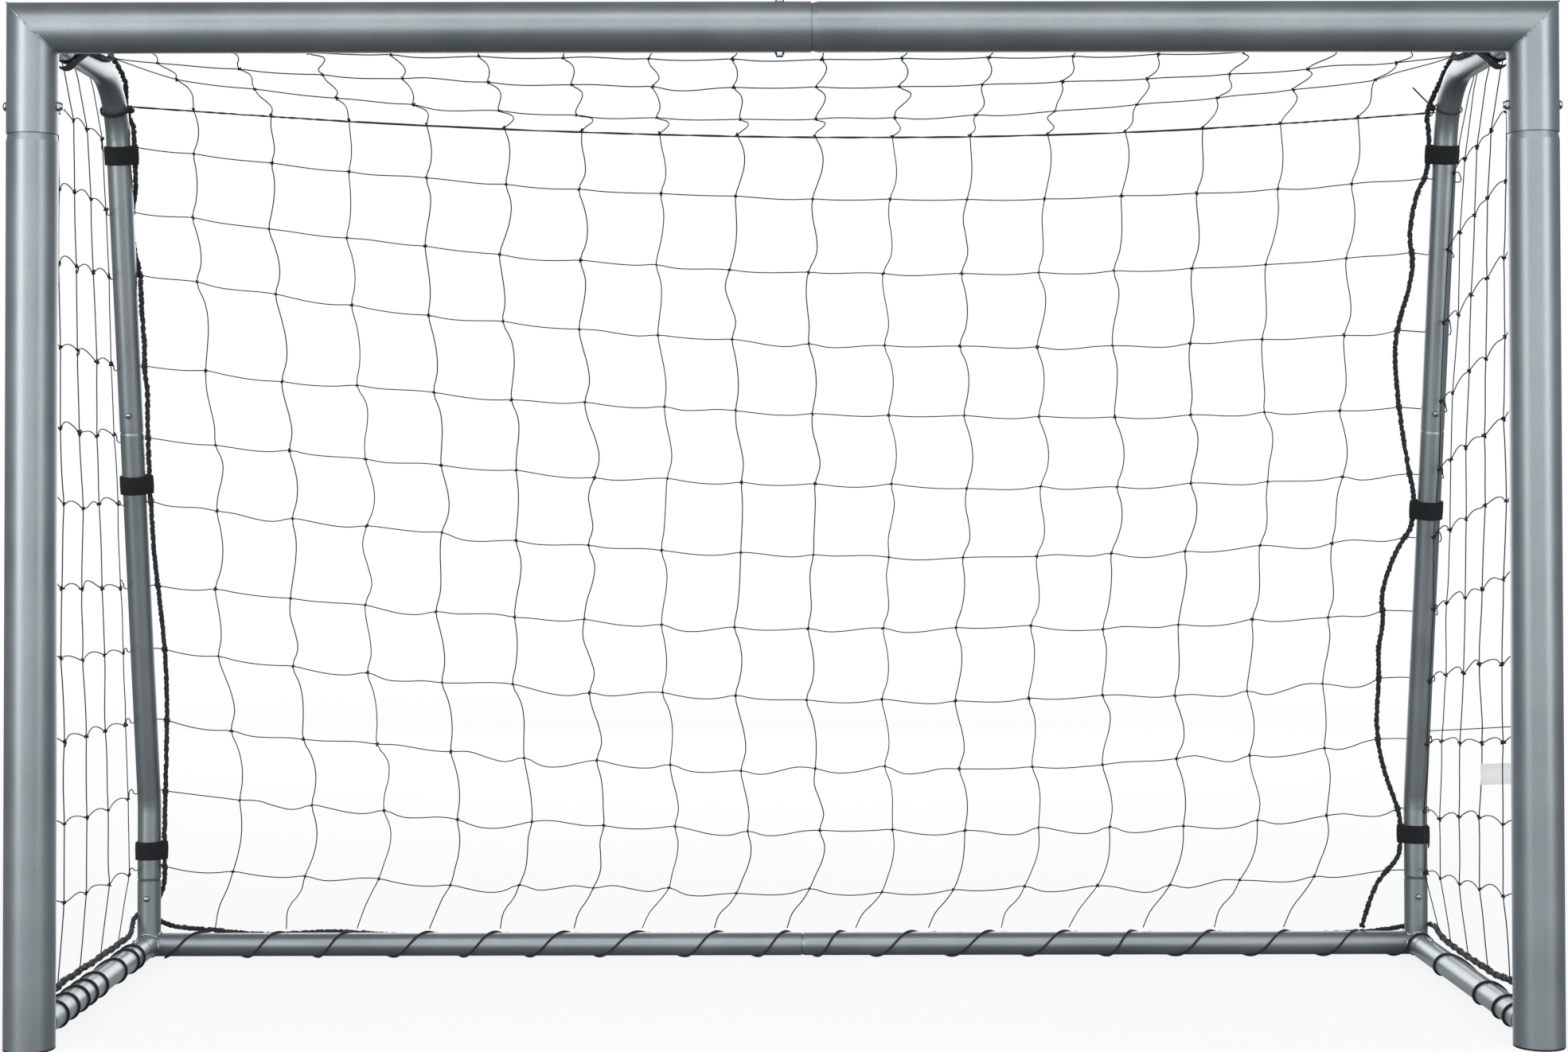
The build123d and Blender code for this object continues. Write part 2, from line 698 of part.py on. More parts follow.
# Base rope: on each side tube, behind the corners and along the rear bar. It climbs over the
# left corner and turns flat round the right one.
base_stations = {
    "left": [(-7, 46, 46), (-7, 100, 45), (-8, 150, 43.5), (-8, 180, 47), (-9, 225, 43),
             (-8, 256, 46), (-9, 310, 42.5), (-8, 362, 45), (-10, 415, 42), (-12, 468, 42),
             (-16, 512, 42), (-21, 543, 47), (-24, 566, 60), (-20, 588, 62), (-3, 600, 52),
             (22, 600, 41), (50, 598, 37.5), (80, 597, 36), (115, 596, 32), (160, 597, 28.5),
             (200, 597, 30), (245, 596, 33.5), (290, 597, 31), (340, 596, 28), (440, 597, 27),
             (540, 596, 28), (640, 597, 27), (740, 596, 28), (840, 597, 27)],
    "right": [(-6, 46, 53), (-7, 90, 52), (-8, 135, 50), (-8, 172, 47.5), (-9, 215, 42.5),
              (-9, 277, 43), (-9, 350, 42), (-10, 448, 42.5), (-16, 512, 42), (-22, 545, 42.5),
              (-25.9, 572, 43), (-18.4, 592, 42.5), (-0.9, 600, 40), (28, 599, 34), (60, 598, 30),
              (110, 597, 28), (180, 597, 27), (240, 597, 28), (340, 596, 27), (440, 597, 28),
              (540, 596, 27), (640, 597, 28), (740, 596, 27), (840, 597, 27)],
}
base_points = (run_to_points(-1, base_stations["left"])
               + run_to_points(1, base_stations["right"][-2::-1]))
cord("border_rope_base", base_points, rope_diameter)

# Tension line: between the ties, with a shallow sag.
line_depth = tie_depth + 20  # it leaves the back of each tie
line_stations = [(-872, 1166), (-640, 1149), (-400, 1136), (-130, 1126), (140, 1122.5),
                 (410, 1127), (650, 1139), (872, 1156)]
cord("tension_line", [(x, behind(line_depth), z) for x, z in line_stations], line_diameter)
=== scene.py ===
import json
import math
import random

import bpy
import numpy as np
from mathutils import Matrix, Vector, noise


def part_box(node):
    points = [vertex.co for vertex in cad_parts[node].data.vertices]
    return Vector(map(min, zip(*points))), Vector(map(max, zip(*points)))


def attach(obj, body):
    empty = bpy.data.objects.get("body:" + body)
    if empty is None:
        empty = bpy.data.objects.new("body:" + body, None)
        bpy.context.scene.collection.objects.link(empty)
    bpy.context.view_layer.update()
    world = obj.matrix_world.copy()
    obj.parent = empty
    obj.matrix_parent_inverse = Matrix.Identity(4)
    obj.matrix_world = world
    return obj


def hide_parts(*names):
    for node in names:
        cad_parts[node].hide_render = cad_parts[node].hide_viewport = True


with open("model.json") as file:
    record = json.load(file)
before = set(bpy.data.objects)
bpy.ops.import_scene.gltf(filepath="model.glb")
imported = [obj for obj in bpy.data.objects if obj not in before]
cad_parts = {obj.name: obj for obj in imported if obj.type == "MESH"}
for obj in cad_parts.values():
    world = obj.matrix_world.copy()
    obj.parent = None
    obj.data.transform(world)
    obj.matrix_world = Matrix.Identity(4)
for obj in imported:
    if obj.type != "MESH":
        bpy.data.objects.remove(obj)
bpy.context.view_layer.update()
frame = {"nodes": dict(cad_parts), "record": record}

bl_info = {
    "name": "Soccer goal frame",
    "version": (1, 0, 0),
    "blender": (4, 5, 0),
    "location": "View3D > Sidebar > Goal",
    "description": "Net, ropes, lacing, straps, welds and finishes of a small steel-tube soccer goal",
    "category": "Object",
}

MM = 0.001
TUBE = 16.0  # radius of the ground tubes and uprights, mm
FRONT_TUBE = 30.1  # radius at which a weld bead lies on the front tubes, mm
REAR_DEPTH = 574  # rear bar's axis, behind the post axes, mm
BASE_HEIGHT = 19  # axes of the ground tubes above the ground, mm
BEND_HEIGHT = 215  # where the lower uprights bend, mm
LEAN = 0.199  # forward lean of the uprights above that bend, mm per mm
LINE_DEPTH = 396.8  # tension line, behind the post axes, mm
ROPE_INSET = 21  # rope's axis from the tube's axis inside a strap, mm
STRAP_WIDTH, STRAP_THICKNESS = 25.0, 1.5
RING_POINTS = 12  # control points in one turn of a cord round a tube
RING_SHRINK = 0.966  # a curve through 12 control points lies this far in from them
NODES = frame["nodes"]
MADE = {}  # finishes made so far, by name
LINES = {}  # centreline of each border rope, by name


def middle(node):
    """Centre of a frame node's box."""
    low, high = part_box(node)
    return (low + high) / 2


POST_X = middle("post_right").x
FRONT_Y = middle("post_right").y
BAR_Z = middle("crossbar_right").z / MM
SIDES = {"left": -1, "right": 1}


# ---------------------------------------------------------------- places
def place(x, depth, height):
    """Point from X, distance behind the post axes and height, all in mm."""
    return Vector((x * MM, FRONT_Y + depth * MM, height * MM))


def beside(side, inset, depth, height):
    """Point measured inwards from a post's axis, in mm."""
    return place(side * (POST_X / MM - inset), depth, height)


def upright_depth(height):
    """Distance of the rear upright's axis behind the post axes at a height, in mm."""
    return REAR_DEPTH - LEAN * max(0.0, height - BEND_HEIGHT)


def along_upright(stations):
    """Stations (inset, depth, height) from inset, height and how far in front of the upright's axis."""
    return [(inset, upright_depth(height) - sum(forward), height) for inset, height, *forward in stations]


def under_strap(height):
    """Two stations that hold the rope straight through a strap."""
    rise = 24.0 if height < BEND_HEIGHT else 24.0 * 0.981  # less where the upright leans
    return along_upright([(ROPE_INSET, height + rise), (ROPE_INSET, height - rise)])


TOP_RUN = [(22, 46, 1198), (21.6, 84, 1199.3), (21, 126, 1200), (21, 174, 1201),
           (19.5, 226, 1204), (18, 272, 1208)]

ROPE_LEFT = (TOP_RUN
             + [(14, 305, 1218), (4, 331, 1225), (10, 351, 1214), (14, 369, 1199), (13.5, 381, 1188),
                (9, 394, 1174), (10, 405, 1156), (18, 403, 1140)]
             + under_strap(1101)
             + along_upright([(16.5, 1052, -12.5), (8, 1028, -19.5),
                (8, 1000, -19.5), (10, 975, -18.5), (18, 950, -11),
                (21.5, 922, 2), (21.5, 890, 3), (24, 845, 5),
                (21, 818, 4), (24.5, 790, 3), (21.5, 735, 1)])
             + under_strap(662)
             + along_upright([(23, 560, 3), (31, 472, 6), (33, 385, 3),
                (29, 300, 6), (23, 228, 2)])
             + under_strap(151) + [(18, 590, 98), (6, 597, 76)])

ROPE_RIGHT = (TOP_RUN
              + [(13, 304, 1217), (3, 332, 1222), (9, 350, 1211), (11.5, 368, 1196), (15, 380, 1184),
                 (20, 388, 1170), (26.5, 389.5, 1152)]
              + under_strap(1100)
              + along_upright([(34, 1052), (41, 1020, 2), (43, 985, 3),
                 (36, 960, 4), (41, 920, 5), (54, 878, 7),
                 (58, 838, 8), (50, 775, 6), (38, 715, 2),
                 (28, 672)])
              + under_strap(625)
              + along_upright([(33, 584, 1), (47, 558, 3), (62, 508, 5),
                 (56, 470, 5), (63, 430, 5), (58.5, 395, 4),
                 (62, 325, 7), (50, 268, 5), (31, 222, 1)])
              + under_strap(171)
              + [(29, 576, 130), (45, 579, 113), (57, 581.5, 92), (65, 585.5, 66), (72.5, 590.5, 38)])

BASE_RUN = {  # on the side tube, round the rear corner and along the rear bar to its middle
    "left": [(-7, 46, 46), (-7, 100, 45), (-8, 150, 43.5), (-8, 180, 47), (-9, 225, 43),
             (-8, 256, 46), (-9, 310, 42.5), (-8, 362, 45), (-10, 415, 42), (-12, 468, 42),
             (-13, 515, 40), (-17, 547, 45), (-20, 567, 57), (-15, 588, 63), (-1, 600, 53),
             (22, 600, 41), (50, 598, 37.5), (80, 597, 36), (115, 596, 32), (160, 597, 28.5),
             (200, 597, 30), (245, 596, 33.5), (290, 597, 31), (340, 596, 28), (440, 597, 27),
             (540, 596, 28), (640, 597, 27), (740, 596, 28), (840, 597, 27)],
    "right": [(-6, 46, 53), (-7, 90, 52), (-8, 135, 50), (-8, 172, 47.5), (-9, 215, 42.5),
              (-9, 277, 43), (-9, 350, 42), (-10, 448, 42.5), (-16, 512, 42), (-22, 545, 42.5),
              (-25.9, 572, 43), (-18.4, 592, 42.5), (-0.9, 600, 40), (28, 599, 34), (60, 598, 30),
              (110, 597, 28), (180, 597, 27), (240, 597, 28), (340, 596, 27), (440, 597, 28),
              (540, 596, 27), (640, 597, 28), (740, 596, 27), (840, 597, 27)],
}

REAR_TURNS = [  # X in mm where each turn passes under the rear bar, and over its top
    (-862, -814), (-746, -704), (-648, -609), (-542, -496), (-445, -402), (-353, -305), (-256, -203),
    (-136, -92), (-34, 4), (49, 80), (131, 180), (236, 289), (343, 394), (453, 487), (549, 598),
    (653, 702), (755, 801)]

TENSION_LINE = [(-872, 1166), (-640, 1149), (-400, 1136), (-130, 1126), (140, 1122.5),
                (410, 1127), (650, 1139), (872, 1156)]

# net rows of the back panel: height in mm at the left rope, the middle and the right rope
BACK_ROWS = [(1112, 1045, 1069), (1029, 948, 971), (944, 853, 868), (822, 758, 764),
             (725, 661, 674), (639, 564, 587), (524, 465, 485), (436, 364, 392),
             (336, 267, 305), (235, 179, 206), (128, 93, 119)]
ROW_SHIFT = [6, 0, 0, 6, 12, 8, 1, 1, 9, 18, 3]  # how far each row's knots stand to the right, mm
SIDE_ROWS = {  # height in mm at the post
    "left": [1120, 1027, 932, 839, 733, 636, 537, 447, 348, 246, 152],
    "right": [1128, 1052, 955, 856, 757, 657, 558, 454, 351, 250, 160],
}
SIDE_COLUMNS = {"left": [0.2, 0.4, 0.6, 0.8], "right": [0.2, 0.4, 0.58, 0.76, 0.92]}
ROOF_ROWS = [(100, 19), (200, 38), (300, 64)]  # distance behind the posts and sag in the middle, mm
NET_COLUMNS = 16
COLUMN_STEP, COLUMN_MIDDLE = 102.0, -16.0  # of the back panel's columns, mm in X
EDGE_CORD = {"bar": (36.5, -1.2), "post": 46.5}  # where the net's front edge lies, mm


# ---------------------------------------------------------------- making meshes
def wander(x, y, z):
    """Smooth noise between about -1 and 1."""
    return noise.noise(Vector((x, y, z)))


def link(name, data):
    """New object in the scene."""
    obj = bpy.data.objects.new(name, data)
    bpy.context.scene.collection.objects.link(obj)
    return obj


def deselect():
    bpy.ops.object.select_all(action="DESELECT")


def choose(obj):
    """Selects one object alone and makes it active."""
    deselect()
    obj.select_set(True)
    bpy.context.view_layer.objects.active = obj


def route_line(name, points, resolution=24):
    """Points along a smooth curve that has the route's points as its control points, in metres."""
    data = bpy.data.curves.new(name, "CURVE")
    data.dimensions = "3D"
    data.resolution_u = resolution
    spline = data.splines.new("NURBS")
    spline.points.add(len(points) - 1)
    for point, at in zip(spline.points, points):
        point.co = (*at, 1.0)
    spline.order_u = 3
    spline.use_endpoint_u = True
    obj = link(name, data)
    bpy.context.view_layer.update()
    mesh = bpy.data.meshes.new_from_object(obj.evaluated_get(bpy.context.evaluated_depsgraph_get()))
    line = np.array([v.co for v in mesh.vertices], float)
    bpy.data.meshes.remove(mesh)
    bpy.data.objects.remove(obj)
    return line


def distances(line):
    """Length along a line at each of its points."""
    return np.concatenate([[0.0], np.cumsum(np.linalg.norm(np.diff(line, axis=0), axis=1))])


def frames(line):
    """Two square directions at each point of a line, carried along without twisting."""
    tangent = np.gradient(line, axis=0)
    tangent /= np.linalg.norm(tangent, axis=1)[:, None]
    across = np.cross(tangent[0], [0.0, 0.0, 1.0])
    if np.linalg.norm(across) < 0.1:
        across = np.cross(tangent[0], [0.0, 1.0, 0.0])
    first = []
    for t in tangent:
        across = across - t * (across @ t)
        across = across / np.linalg.norm(across)
        first.append(across)
    first = np.array(first)
    return first, np.cross(tangent, first)


def tube(line, radius, sides):
    """Round tube along a line, closed at both ends: vertices, faces and UVs in metres."""
    count = len(line)
    radius = np.broadcast_to(radius, count)
    first, second = frames(line)
    angle = np.arange(sides) * math.tau / sides
    ring = np.cos(angle)[None, :, None] * first[:, None] + np.sin(angle)[None, :, None] * second[:, None]
    vertices = (line[:, None] + ring * radius[:, None, None]).reshape(-1, 3)
    i, j = np.meshgrid(np.arange(count - 1), np.arange(sides), indexing="ij")
    i, j = i.ravel(), j.ravel()
    nxt = (j + 1) % sides
    quads = np.stack([i * sides + j, i * sides + nxt, (i + 1) * sides + nxt, (i + 1) * sides + j], 1)
    far = distances(line)
    step = math.tau * float(radius.mean()) / sides
    uv = np.stack([np.stack([j * step, far[i]], 1), np.stack([(j + 1) * step, far[i]], 1),
                   np.stack([(j + 1) * step, far[i + 1]], 1), np.stack([j * step, far[i + 1]], 1)], 1)
    ends = [list(range(sides))[::-1], [(count - 1) * sides + k for k in range(sides)]]
    return vertices, quads.tolist() + ends, np.concatenate([uv.reshape(-1, 2), np.zeros((2 * sides, 2))])


def mesh_piece(name, parts):
    """One object at the origin from several lots of vertices, faces and UVs."""
    vertices, faces, uvs, start = [], [], [], 0
    for points, polygons, uv in parts:
        vertices.append(points)
        faces += [[start + k for k in polygon] for polygon in polygons]
        uvs.append(uv)
        start += len(points)
    mesh = bpy.data.meshes.new(name)
    mesh.from_pydata(np.concatenate(vertices).tolist(), [], faces)
    mesh.uv_layers.new(name="UVMap").data.foreach_set("uv", np.concatenate(uvs).astype(np.float32).ravel())
    mesh.shade_smooth()
    return link(name, mesh)


def twisted(line, strands, strand_radius, lay_radius, pitch, seed, lumps=0.0, sides=7):
    """Strands laid round a line, with lumps where the fibres bunch up."""
    rng = random.Random(seed)
    first, second = frames(line)
    far = distances(line)
    made = []
    for k in range(strands):
        phase = math.tau * k / strands
        drift = np.array([wander(s * 30, k * 7.3, seed) for s in far])
        bunch = np.array([wander(s * 190, k * 3.1, seed + 9) for s in far])
        turn = math.tau * far / pitch + phase + 1.5 * drift
        out = lay_radius * (1 + 0.5 * lumps * bunch)
        middle_line = line + out[:, None] * (np.cos(turn)[:, None] * first + np.sin(turn)[:, None] * second)
        radius = strand_radius * (1 + lumps * bunch + 0.08 * rng.uniform(-1, 1))
        made.append(tube(middle_line, radius, sides))
    return made


def whiskers(line, reach, count, seed):
    """Loose fibre ends that stand out of a rope."""
    rng = random.Random(seed)
    first, second = frames(line)
    made = []
    for _ in range(count):
        i = rng.randrange(3, len(line) - 3)
        turn = rng.uniform(0, math.tau)
        out = math.cos(turn) * first[i] + math.sin(turn) * second[i]
        lean = (line[i + 1] - line[i - 1]) / np.linalg.norm(line[i + 1] - line[i - 1])
        lean = lean * rng.uniform(-1, 1)
        tall = reach * rng.uniform(0.75, 1.0)
        points = np.array([line[i] + out * reach * 0.3,
                           line[i] + out * (0.5 * tall) + lean * 0.0012,
                           line[i] + out * tall + lean * 0.003])
        made.append(tube(points, np.array([0.0005, 0.00045, 0.0002]), 3))
    return made


def wraps(line, at, radius, turns, thickness, seed):
    """Twine wound a few times round a rope, where a net row is tied to it."""
    rng = random.Random(seed)
    first, second = frames(line)
    made = []
    for i in at:
        tangent = (line[i + 1] - line[i - 1]) / np.linalg.norm(line[i + 1] - line[i - 1])
        steps = np.linspace(0, math.tau * turns, 9 * turns)
        spread = np.linspace(-0.5, 0.5, len(steps)) * thickness * turns * 1.15
        wobble = radius * (1 + 0.1 * np.sin(steps * 0.7 + rng.uniform(0, 6)))
        points = (line[i] + spread[:, None] * tangent
                  + (wobble * np.cos(steps))[:, None] * first[i]
                  + (wobble * np.sin(steps))[:, None] * second[i])
        made.append(tube(points, thickness / 2, 5))
    return made


def nearest(line, point):
    return int(np.argmin(np.linalg.norm(line - np.array(point), axis=1)))


# ---------------------------------------------------------------- materials
ONE_BAND = 0.314  # scale of a wave texture that has one band a metre


def linear(hex_colour):
    """sRGB hex such as "#8a9094" as a linear colour."""
    parts = [int(hex_colour[i:i + 2], 16) / 255 for i in (1, 3, 5)]
    return (*[c / 12.92 if c <= 0.04045 else ((c + 0.055) / 1.055) ** 2.4 for c in parts], 1.0)


def add(tree, kind, links=None, **settings):
    """Adds a node, sets its properties, and links or sets its inputs."""
    node = tree.nodes.new(kind)
    for name, value in settings.items():
        setattr(node, name, value)
    for name, value in (links or {}).items():
        if isinstance(value, bpy.types.NodeSocket):
            tree.links.new(value, node.inputs[name])
        else:
            node.inputs[name].default_value = value
    return node


def new_material(name, space="Object"):
    """Empty material with a Principled shader wired to its output, and the coordinates to paint it by."""
    material = bpy.data.materials.new(name)
    material.use_nodes = True
    tree = material.node_tree
    tree.nodes.clear()
    shader = add(tree, "ShaderNodeBsdfPrincipled")
    add(tree, "ShaderNodeOutputMaterial", {"Surface": shader.outputs["BSDF"]})
    return material, tree, shader, add(tree, "ShaderNodeTexCoord").outputs[space]


def ramp(tree, factor, stops):
    """Colour ramp with hex colours at given places."""
    node = add(tree, "ShaderNodeValToRGB", {"Fac": factor})
    elements = node.color_ramp.elements
    while len(elements) < len(stops):
        elements.new(0.5)
    for element, (where, colour) in zip(elements, stops):
        element.position = where
        element.color = linear(colour)
    return node


def colour_by(tree, shader, factor, stops):
    """Colours the surface by a pattern, through a ramp."""
    tree.links.new(ramp(tree, factor, stops).outputs["Color"], shader.inputs["Base Color"])


def raise_by(tree, shader, pattern, strength, depth):
    """Bumps the surface by a pattern; the depth is in metres."""
    bump = add(tree, "ShaderNodeBump", {"Height": pattern, "Strength": strength, "Distance": depth})
    tree.links.new(bump.outputs["Normal"], shader.inputs["Normal"])


def set_inputs(shader, **values):
    for name, value in values.items():
        shader.inputs[name.replace("_", " ")].default_value = value


def silver_powder_coat(colour, dark):
    """Silver-grey metallic powder coat on steel: the flakes glint and make fine speckle, the baked
    skin has a faint orange peel that breaks up long highlights, and handling leaves duller patches."""
    material, tree, shader, where = new_material("silver_powder_coat")
    # flakes 0.9 mm across, coarser than real ones
    flakes = add(tree, "ShaderNodeTexVoronoi", {"Vector": where, "Scale": 1100.0})
    cloud = add(tree, "ShaderNodeTexNoise", {"Vector": where, "Scale": 9.0, "Detail": 4.0})
    tint = ramp(tree, cloud.outputs["Fac"], [(0.3, dark), (0.7, colour)])
    # the Mix node's sockets repeat by type, so its colour pair is linked by place
    speckle = add(tree, "ShaderNodeMix", {0: 0.10, 6: tint.outputs["Color"], 7: flakes.outputs["Color"]},
                  data_type="RGBA", blend_type="OVERLAY")
    tree.links.new(speckle.outputs[2], shader.inputs["Base Color"])
    dull = add(tree, "ShaderNodeMapRange", {"Value": cloud.outputs["Fac"], "From Min": 0.3,
                                            "From Max": 0.7, "To Min": 0.40, "To Max": 0.47})
    tree.links.new(dull.outputs["Result"], shader.inputs["Roughness"])
    peel = add(tree, "ShaderNodeTexNoise", {"Vector": where, "Scale": 380.0, "Detail": 2.0})
    raise_by(tree, shader, peel.outputs["Fac"], 0.10, 0.0004)
    set_inputs(shader, Metallic=0.82, Coat_Weight=0.12, Coat_Roughness=0.2)
    return material


def weld_silver():
    """Weld beads sprayed with zinc-rich silver: brighter and glossier than the coat, with coarse spatter."""
    material, tree, shader, where = new_material("weld_silver")
    spatter = add(tree, "ShaderNodeTexNoise", {"Vector": where, "Scale": 420.0, "Detail": 3.0})
    colour_by(tree, shader, spatter.outputs["Fac"], [(0.35, "#7d8386"), (0.62, "#d5dadb")])
    raise_by(tree, shader, spatter.outputs["Fac"], 0.7, 0.0012)
    set_inputs(shader, Metallic=0.9, Roughness=0.28)
    return material


def zinc_plate():
    """Bright zinc plating on bolts and nuts: near-mirror with a faint blue cast and fine tumbling marks."""
    material, tree, shader, where = new_material("zinc_plate")
    marks = add(tree, "ShaderNodeTexNoise", {"Vector": where, "Scale": 900.0, "Detail": 3.0})
    colour_by(tree, shader, marks.outputs["Fac"], [(0.35, "#9aa0a6"), (0.65, "#d3d8dc")])
    raise_by(tree, shader, marks.outputs["Fac"], 0.15, 0.0002)
    set_inputs(shader, Metallic=1.0, Roughness=0.2)
    return material


def spring_steel():
    """Polished spring steel of the snap buttons: dark, smooth, with drawn lines from the press."""
    material, tree, shader, where = new_material("spring_steel")
    lines = add(tree, "ShaderNodeTexNoise", {"Vector": where, "Scale": 1400.0, "Detail": 2.0})
    colour_by(tree, shader, lines.outputs["Fac"], [(0.3, "#7f8386"), (0.7, "#c4c7c9")])
    set_inputs(shader, Metallic=1.0, Roughness=0.16)
    return material


def moulded_polyethylene():
    """Black moulded polyethylene: waxy half-gloss with a fine spark-eroded grain."""
    material, tree, shader, where = new_material("moulded_polyethylene")
    grain = add(tree, "ShaderNodeTexVoronoi", {"Vector": where, "Scale": 1250.0})  # 0.8 mm grain
    colour_by(tree, shader, grain.outputs["Distance"], [(0.1, "#17181a"), (0.8, "#202225")])
    raise_by(tree, shader, grain.outputs["Distance"], 0.3, 0.0002)
    set_inputs(shader, Roughness=0.48, IOR=1.51)
    return material


def braided_polyester(name, light, dark, spacing_mm, strength):
    """Black polyester cord: slanted yarns with a painted highlight on each crown and painted shade in the
    grooves between them, and a soft fuzz at the edge.
    The pattern follows the cord by its UV map, which is in metres."""
    material, tree, shader, uv = new_material(name, "UV")
    slanted = add(tree, "ShaderNodeMapping", {"Vector": uv, "Rotation": (0, 0, math.radians(52))})
    yarns = add(tree, "ShaderNodeTexWave", {"Vector": slanted.outputs["Vector"],
                                            "Scale": ONE_BAND / (spacing_mm * MM), "Distortion": 1.2,
                                            "Detail": 1.0, "Detail Scale": 2.0})
    # painted light: the ramp runs from painted shade between the yarns (dark) to a painted highlight on
    # their crowns (light)
    colour_by(tree, shader, yarns.outputs["Fac"], [(0.1, dark), (0.9, light)])
    raise_by(tree, shader, yarns.outputs["Fac"], strength, 0.0005)
    set_inputs(shader, Roughness=0.72, Sheen_Weight=0.25, Sheen_Roughness=0.4, IOR=1.52)
    return material


def net_twine(colour):
    """Black polyethylene net twine: fine twisted fibres, with random flecks of painted highlight on the lit
    fibres.
    """
    material, tree, shader, where = new_material("net_twine")
    fibres = add(tree, "ShaderNodeTexNoise", {"Vector": where, "Scale": 1300.0, "Detail": 2.0})
    # painted highlight: fine random flecks in the lit-fibre colour over near-black twine
    colour_by(tree, shader, fibres.outputs["Fac"], [(0.3, "#0c0c0d"), (0.75, colour)])
    raise_by(tree, shader, fibres.outputs["Fac"], 0.5, 0.0004)
    set_inputs(shader, Roughness=0.62, IOR=1.51)
    return material


def loop_webbing():
    """Black nylon hook-and-loop webbing: matt, with a field of tiny loops and a tighter woven edge."""
    material, tree, shader, uv = new_material("loop_webbing", "UV")
    loops = add(tree, "ShaderNodeTexVoronoi", {"Vector": uv, "Scale": 900.0})  # loops 1.1 mm apart
    ribs = add(tree, "ShaderNodeTexWave", {"Vector": uv, "Scale": ONE_BAND / 0.0018, "Distortion": 0.6},
               bands_direction="Y")
    both = add(tree, "ShaderNodeMath", {0: loops.outputs["Distance"], 1: ribs.outputs["Fac"]},
               operation="MULTIPLY")
    colour_by(tree, shader, both.outputs["Value"], [(0.05, "#070808"), (0.7, "#16181a")])
    raise_by(tree, shader, both.outputs["Value"], 0.6, 0.0006)
    set_inputs(shader, Roughness=0.85, Sheen_Weight=0.08, Sheen_Roughness=0.5, IOR=1.5)
    return material


def label_satin():
    """White woven satin label: a fine cross weave with a pale sheen, blank."""
    material, tree, shader, uv = new_material("label_satin", "UV")
    threads = {"Vector": uv, "Scale": ONE_BAND / 0.0008}  # 0.8 mm apart, coarser than real ones
    across = add(tree, "ShaderNodeTexWave", threads)
    along = add(tree, "ShaderNodeTexWave", threads, bands_direction="Y")
    weave = add(tree, "ShaderNodeMath", {0: across.outputs["Fac"], 1: along.outputs["Fac"]},
                operation="MULTIPLY")
    colour_by(tree, shader, weave.outputs["Value"], [(0.0, "#ececea"), (0.8, "#fbfbfa")])
    raise_by(tree, shader, weave.outputs["Value"], 0.3, 0.0002)
    set_inputs(shader, Roughness=0.5, Sheen_Weight=0.3, IOR=1.55)
    return material


def studio_paper():
    """Matt white studio paper, which thins out to nothing far from the goal."""
    material, tree, shader, where = new_material("studio_paper")
    far = add(tree, "ShaderNodeVectorMath", {0: where}, operation="LENGTH")
    fade = add(tree, "ShaderNodeMapRange", {"Value": far.outputs["Value"], "From Min": 0.7,
                                            "From Max": 5.0, "To Min": 0.15, "To Max": 0.0})
    tree.links.new(fade.outputs["Result"], shader.inputs["Alpha"])
    fibre = add(tree, "ShaderNodeTexNoise", {"Vector": where, "Scale": 300.0})
    colour_by(tree, shader, fibre.outputs["Fac"], [(0.3, "#f4f4f4"), (0.7, "#fafafa")])
    set_inputs(shader, Roughness=0.9, IOR=1.45)
    return material


def finish_of(name):
    """The shared material of that name, made when it is first asked for."""
    colours = bpy.context.scene.goal_finish
    makers = {
        "silver": lambda: silver_powder_coat(colours.paint, colours.paint_shade),
        "weld": weld_silver,
        "zinc": zinc_plate,
        "spring": spring_steel,
        "plastic": moulded_polyethylene,
        # each cord gets a painted highlight colour for its yarn crowns, then a painted shade colour for the
        # grooves between yarns
        "rope": lambda: braided_polyester("braided_rope", colours.cord, "#08090a", 1.4, 0.8),
        "lace": lambda: braided_polyester("braided_lace", colours.cord, "#0a0b0c", 0.9, 0.5),
        "twine": lambda: net_twine(colours.twine),
        "webbing": loop_webbing,
        "label": label_satin,
        "paper": studio_paper,
    }
    if name not in MADE:
        MADE[name] = makers[name]()
    return MADE[name]


def dress(obj, finish, slot, *nodes):
    """Gives a piece its material, lets it ride on the frame and stand for its nodes; its slot is not used.
    """
    obj.data.materials.clear()
    obj.data.materials.append(finish_of(finish))
    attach(obj, "frame")
    if nodes:
        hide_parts(*nodes)
    return obj


# ---------------------------------------------------------------- net strands
def strand_set(name, thickness):
    """Curve object that collects the net's strands."""
    data = bpy.data.curves.new(name, "CURVE")
    data.dimensions = "3D"
    data.resolution_u = 3
    data.bevel_depth = thickness / 2
    data.bevel_resolution = 1
    data.use_fill_caps = True
    return link(name, data)


def add_strand(obj, points):
    """Smooth strand that passes through its points."""
    spline = obj.data.splines.new("BEZIER")
    spline.bezier_points.add(len(points) - 1)
    for point, at in zip(spline.bezier_points, points):
        point.co = at
        point.handle_left_type = point.handle_right_type = "AUTO"


def slack(start, end, sideways, amount, curl):
    """Three points between two knots where a strand bows and curls to one side."""
    sideways = Vector(sideways)
    return [start.lerp(end, t) + sideways * (amount * math.sin(math.pi * t)
                                             + curl * math.sin(math.tau * t)) * MM
            for t in (0.25, 0.5, 0.75)]


def add_slack_strand(strands, line, sideways, sag, before=(), after=()):
    """Strand through a line of knots; sag(i) says how far it bows and curls past the i-th of them."""
    points = [*before, line[0]]
    for i, (a, b) in enumerate(zip(line, line[1:])):
        points += slack(a, b, sideways, *sag(i)) + [b]
    add_strand(strands, points + list(after))


